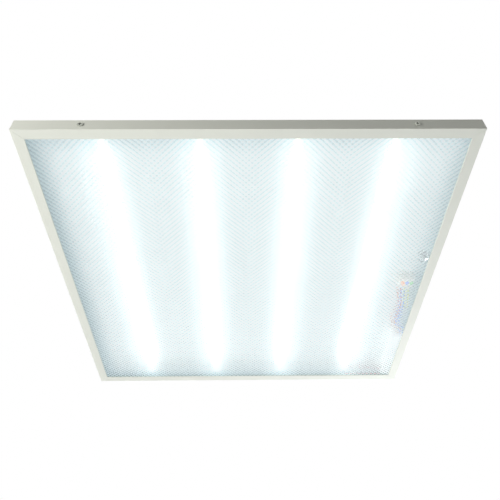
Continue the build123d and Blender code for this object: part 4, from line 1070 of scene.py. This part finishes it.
@dataclass
class PrismaticDiffuser:
    """Clear sheet with rows of pyramids under it, at 45 degrees to the frame."""

    board_xs: tuple[float, ...]
    row_pitch: float = 5.85 * MM
    pyramid_depth: float = 0.75 * MM

    def build(self) -> None:
        """Make the sheet: pyramids cut to a square, with side walls and a flat top."""
        low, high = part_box("diffuser")
        half = high.x
        mesh = bmesh.new()
        self._add_pyramids(mesh, half, low.z)
        for side in ((1, 0, 0), (-1, 0, 0), (0, 1, 0), (0, -1, 0)):
            normal = Vector(side)
            everything = [*mesh.verts, *mesh.edges, *mesh.faces]
            bmesh.ops.bisect_plane(
                mesh, geom=everything, plane_co=normal * half, plane_no=normal, clear_outer=True
            )
        self._close(mesh, high.z)
        acrylic = ClearAcrylic("clear acrylic", self.row_pitch, self.board_xs, half)
        make_piece("prismatic_diffuser", mesh, [acrylic], "diffuser")

    def _add_pyramids(self, mesh: bmesh.types.BMesh, half: float, tip_z: float) -> None:
        """Add the rows of pyramids, a little past the sheet's edges.

        Args:
            mesh: Where they go.
            half: Half of the sheet's side.
            tip_z: Height of the pyramids' tips.
        """
        pitch = self.row_pitch
        rows = math.ceil(half * math.sqrt(2) / pitch)
        turn = Matrix.Rotation(math.pi / 4, 3, "Z")
        valleys: dict[tuple[int, int], bmesh.types.BMVert] = {}

        def valley(i: int, j: int) -> bmesh.types.BMVert:
            """Find the vertex where four pyramids meet, or make it.

            Args:
                i: Its number along one set of rows.
                j: Its number along the other.

            Returns:
                The vertex.
            """
            if (i, j) not in valleys:
                spot = turn @ Vector((i * pitch, j * pitch, tip_z + self.pyramid_depth))
                valleys[i, j] = mesh.verts.new(spot)
            return valleys[i, j]

        for i in range(-rows, rows):
            for j in range(-rows, rows):
                tip = turn @ Vector(((i + 0.5) * pitch, (j + 0.5) * pitch, tip_z))
                if max(abs(tip.x), abs(tip.y)) > half + pitch:
                    continue
                corners = (valley(i, j), valley(i + 1, j), valley(i + 1, j + 1), valley(i, j + 1))
                apex = mesh.verts.new(tip)
                for k, corner in enumerate(corners):
                    mesh.faces.new((corners[(k + 1) % 4], corner, apex))

    @staticmethod
    def _close(mesh: bmesh.types.BMesh, top_z: float) -> None:
        """Raise the cut edges to the sheet's top and cover it.

        Args:
            mesh: The pyramids, cut to size.
            top_z: Height of the flat top.
        """
        rim = [edge for edge in mesh.edges if edge.is_boundary]
        raised = bmesh.ops.extrude_edge_only(mesh, edges=rim)["geom"]
        for item in raised:
            if isinstance(item, bmesh.types.BMVert):
                item.co.z = top_z
        top_rim = [edge for edge in mesh.edges if edge.is_boundary]
        bmesh.ops.contextual_create(mesh, geom=top_rim)
        bmesh.ops.recalc_face_normals(mesh, faces=mesh.faces[:])


@dataclass
class BackTray(SubAssembly):
    """Pressed-steel tray, painted white, with the lamps' light on its inner side."""

    board_xs: tuple[float, ...]
    paint_colour: Colour = (0.86, 0.87, 0.86)
    paint_roughness: float = 0.3
    sheet: float = 0.5 * MM
    board_gap: float = 0.3 * MM

    def build(self) -> None:
        """Paint the tray."""
        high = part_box("back_tray")[1]
        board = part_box("led_board_1")[1]
        glow = LampGlow(self.board_xs, board.y, high.x - self.sheet, board.z + self.board_gap)
        paint = LitPaint("white tray paint", self.paint_colour, self.paint_roughness, glow=glow)
        self.dress(paint, "back_tray")


@dataclass
class LampRows(SubAssembly):
    """Four LED boards with their LEDs and connectors."""

    leds_per_board: int = 32
    led_length: float = 3.5 * MM
    window_inset: float = 0.35 * MM
    window_depth: float = 0.12 * MM
    downward: float = -0.9  # how far a window's normal points down at least
    mask: SolderMask = SolderMask(
        "white solder mask", (0.90, 0.90, 0.88), (0.95, 0.93, 0.86), lit=1.7
    )
    package: Moulding = Moulding("LED package", (0.93, 0.91, 0.84), 0.35, light=TrayLight(0.9))
    phosphor: Phosphor = Phosphor("phosphor")
    nylon: Moulding = Moulding("connector nylon", (0.88, 0.88, 0.84), 0.4, light=TrayLight(0.5))

    def build(self) -> None:
        """Finish the boards and connectors, and make the LEDs anew."""
        self.dress(self.mask, *[f"led_board_{i}" for i in BOARDS])
        self.dress(self.nylon, *[f"led_connectors_{i}" for i in BOARDS])
        for number in BOARDS:
            self._build_leds(number)

    def _build_leds(self, number: int) -> None:
        """Make one board's LEDs: a package with a sunk phosphor window in its lower face.

        Args:
            number: The board's number.
        """
        low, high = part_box(f"led_chips_{number}")
        size = Vector((high.x - low.x, self.led_length, high.z - low.z))
        pitch = (high.y - low.y - self.led_length) / (self.leds_per_board - 1)
        mesh = bmesh.new()
        for i in range(self.leds_per_board):
            centre = (low + high) / 2
            centre.y = low.y + self.led_length / 2 + i * pitch
            place = Matrix.Translation(centre) @ Matrix.Diagonal((*size, 1.0))
            bmesh.ops.create_cube(mesh, size=1.0, matrix=place)
        mesh.normal_update()
        windows = [face for face in mesh.faces if face.normal.z < self.downward]
        bmesh.ops.inset_individual(
            mesh, faces=windows, thickness=self.window_inset, depth=-self.window_depth
        )
        for face in windows:
            face.material_index = 1
        finishes = [self.package, self.phosphor]
        make_piece(f"leds_{number}", mesh, finishes, f"led_chips_{number}")


@dataclass
class Driver(SubAssembly):
    """Closed driver beside the right wall, with its circuit board and components."""

    case: Moulding = Moulding("driver case", (0.90, 0.91, 0.90), 0.42, light=TrayLight(0.32))
    board: SolderMask = SolderMask("green solder mask", (0.03, 0.20, 0.08), (0.06, 0.32, 0.13))
    ferrite: Moulding = Moulding("ferrite", (0.10, 0.10, 0.10), 0.6)
    sleeve: Moulding = Moulding("capacitor sleeve", (0.05, 0.06, 0.16), 0.25)
    epoxy: Moulding = Moulding("black epoxy", (0.03, 0.03, 0.03), 0.55)
    zinc: Plating = Plating(
        "case screw zinc", (0.60, 0.61, 0.60), (0.35, 0.35, 0.33), light=TrayLight(0.4)
    )

    def build(self) -> None:
        """Finish the driver's pieces."""
        self.dress(self.case, "driver_base", "driver_cover")
        self.dress(self.board, "driver_circuit_board")
        self.dress(self.ferrite, "driver_transformer", "driver_filter_choke")
        self.dress(self.sleeve, "driver_input_capacitor", "driver_output_capacitor")
        self.dress(self.epoxy, "driver_transistor")
        self.dress(self.zinc, "driver_screws", "terminal_screw")


@dataclass
class SupplyTerminal(SubAssembly):
    """Spring-clamp terminal with a push button for each pole."""

    housing: Moulding = Moulding("terminal polyamide", (0.80, 0.80, 0.77), light=TrayLight(0.12))
    copper: Plating = Plating("bare copper", (0.80, 0.42, 0.25), (0.45, 0.20, 0.12), 0.3)
    spring: Plating = Plating("spring strip", (0.55, 0.55, 0.55), (0.35, 0.33, 0.30), 0.25)
    light: TrayLight = TrayLight(0.42, 0.72)
    roughness: float = 0.35
    buttons: tuple[tuple[str, str, Colour], ...] = (
        ("live", "orange", (0.88, 0.26, 0.03)),
        ("neutral", "blue", (0.04, 0.16, 0.62)),
        ("earth", "green", (0.06, 0.42, 0.08)),
    )

    def build(self) -> None:
        """Finish the terminal's pieces."""
        self.dress(self.housing, "terminal_housing")
        for pole, name, colour in self.buttons:
            button = Moulding(f"{name} button", colour, self.roughness, light=self.light)
            self.dress(self.copper, f"terminal_busbar_{pole}")
            self.dress(self.spring, f"terminal_clamp_{pole}")
            self.dress(button, f"release_button_{pole}")


@dataclass
class EarthAndEntry(SubAssembly):
    """Earth stud with its washer, ring terminal and nut, and the cable grommet."""

    zinc: Plating = Plating(
        "stud zinc", (0.62, 0.63, 0.62), (0.36, 0.36, 0.34), light=TrayLight(0.4)
    )
    tin: Plating = Plating(
        "tin plate", (0.74, 0.74, 0.72), (0.48, 0.44, 0.38), 0.28, light=TrayLight(0.4)
    )
    rubber: Moulding = Moulding(
        "black rubber", (0.04, 0.043, 0.045), 0.7, 0.8 * MM, light=TrayLight(0.5, 0.9)
    )

    def build(self) -> None:
        """Finish the earth point and the grommet."""
        self.dress(self.zinc, "earth_stud", "earth_lock_washer", "earth_nut")
        self.dress(self.tin, "earth_ring_terminal")
        self.dress(self.rubber, "cable_grommet")


@dataclass
class Wiring(SubAssembly):
    """Mains wires, the driver's output pair, jumpers and clips."""

    nylon: Moulding = Moulding("clip nylon", (0.88, 0.88, 0.82), 0.4, light=TrayLight(0.2))

    def build(self) -> None:
        """Finish the wires and clips."""
        jumpers = ("jumper_wires_4_3", "jumper_wires_3_2", "jumper_wires_2_1")
        coats = (
            ("brown", Insulation.BROWN, None, ("wire_live",)),
            ("blue", Insulation.BLUE, None, ("wire_neutral",)),
            ("green and yellow", Insulation.GREEN, Insulation.YELLOW, ("wire_earth",)),
            ("red", Insulation.RED, None, ("wire_led_positive",)),
            ("black", Insulation.BLACK, None, ("wire_led_negative",)),
            ("white", Insulation.WHITE, None, jumpers),
        )
        for name, base, stripe, nodes in coats:
            self.dress(WireInsulation(f"{name} insulation", base, stripe), *nodes)
        self.dress(self.nylon, "wire_clips")


# --- Studio ---


@dataclass(frozen=True)
class SoftLamp:
    """Square studio lamp aimed at the object."""

    name: str
    place: Triple
    aim: Triple
    size: float
    power: float
    colour: Colour
    matt: bool  # whether it lights matt surfaces only and leaves no glint

    def build(self) -> None:
        """Make the lamp."""
        light = bpy.data.lights.new(self.name, "AREA")
        light.shape = "SQUARE"
        light.size = self.size
        light.energy = self.power
        light.color = self.colour
        lamp = add_object(self.name, light)
        lamp.location = self.place
        away = Vector(self.place) - Vector(self.aim)
        lamp.rotation_euler = away.to_track_quat("Z", "Y").to_euler()
        lamp.visible_camera = False
        lamp.visible_glossy = not self.matt
        lamp.visible_transmission = not self.matt


@dataclass
class Studio:
    """Camera, lamps, world and floor."""

    camera_place: Triple = (-0.00754, -0.67490, -0.57636)
    camera_aim: Triple = (0.0019, -0.0816, 0.0)
    camera_roll: float = -0.907
    lens: float = 38.94
    sensor: float = 36.0
    nearest_view: float = 0.01
    floor_z: float = -1.25
    floor_half: float = 6.0
    ambient: float = 0.04
    lamps: tuple[SoftLamp, ...] = (
        SoftLamp(
            "wall_lamp", (-1.1, -0.75, -0.12), (0.0, -0.3, 0.0), 0.4, 13.5, (1.0, 1.0, 0.95), True
        ),
        SoftLamp(
            "left_lamp", (-1.6, -0.05, -1.4), (0.0, -0.1, 0.0), 1.2, 50.0, (1.0, 1.0, 0.95), False
        ),
        SoftLamp(
            "far_right_lamp", (0.9, 1.6, -1.0), (0.0, 0.0, 0.0), 1.2, 26.0, (0.98, 1.0, 1.03), True
        ),
        SoftLamp(
            "right_lamp", (0.55, 0.6, -0.5), (0.15, 0.15, 0.0), 0.5, 2.6, (0.97, 1.0, 1.06), True
        ),
        SoftLamp(
            "near_lamp", (-0.08, -0.26, -0.35), (-0.08, -0.29, 0), 0.2, 0.11, (1.0, 1.0, 0.97), True
        ),
        SoftLamp(
            "overhead_lamp", (0.1, 0.6, 1.7), (0.0, 0.0, 0.0), 1.2, 26.0, (1.0, 1.0, 1.0), False
        ),
    )

    def build(self) -> None:
        """Set up the studio."""
        self._build_camera()
        for lamp in self.lamps:
            lamp.build()
        self._build_world()
        self._build_floor()
        bpy.context.scene.view_settings.view_transform = "Standard"

    def _build_camera(self) -> None:
        """Place the camera at the photograph's viewing angle, a little rolled as it was."""
        camera = bpy.data.cameras.new("camera")
        camera.sensor_width = self.sensor
        camera.lens = self.lens
        camera.clip_start = self.nearest_view
        eye = add_object("camera", camera)
        place = Vector(self.camera_place)
        forward = (Vector(self.camera_aim) - place).normalized()
        right = forward.cross(Vector((0, 0, 1))).normalized()
        up = right.cross(forward)
        turn = Matrix((right, up, -forward)).transposed()
        roll = Matrix.Rotation(math.radians(self.camera_roll), 3, "Z")
        eye.matrix_world = Matrix.Translation(place) @ (turn @ roll).to_4x4()
        bpy.context.scene.camera = eye

    def _build_world(self) -> None:
        """White to the eye and in reflections, and a dimmer even light on the object."""
        world = bpy.data.worlds.new("studio_world")
        world.use_nodes = True
        bpy.context.scene.world = world
        shading = Shading(world.node_tree)
        strength = self.ambient + shading.seen() * (1 - self.ambient)
        inputs = {"Color": (1.0, 1.0, 1.0), "Strength": strength}
        background = shading.node("ShaderNodeBackground", inputs=inputs)
        shading.node("ShaderNodeOutputWorld", inputs={"Surface": background.outputs[0]})

    def _build_floor(self) -> None:
        """Lay the floor, well below the light and the camera."""
        mesh = bmesh.new()
        bmesh.ops.create_grid(mesh, x_segments=1, y_segments=1, size=self.floor_half)
        floor = add_mesh("floor", mesh, [StudioFloor("studio floor")])
        floor.location.z = self.floor_z


def main() -> None:
    """Load the frame, set up the studio and build each sub-assembly in order."""
    logging.basicConfig(level=logging.INFO, format="%(message)s")
    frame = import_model()
    Studio().build()
    PaintedFrame(frame).build()
    board_xs = tuple(sum(corner.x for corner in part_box(f"led_board_{i}")) / 2 for i in BOARDS)
    PrismaticDiffuser(board_xs).build()
    BackTray(frame, board_xs).build()
    LampRows(frame).build()
    Driver(frame).build()
    SupplyTerminal(frame).build()
    EarthAndEntry(frame).build()
    Wiring(frame).build()


if __name__ == "__main__":
    main()
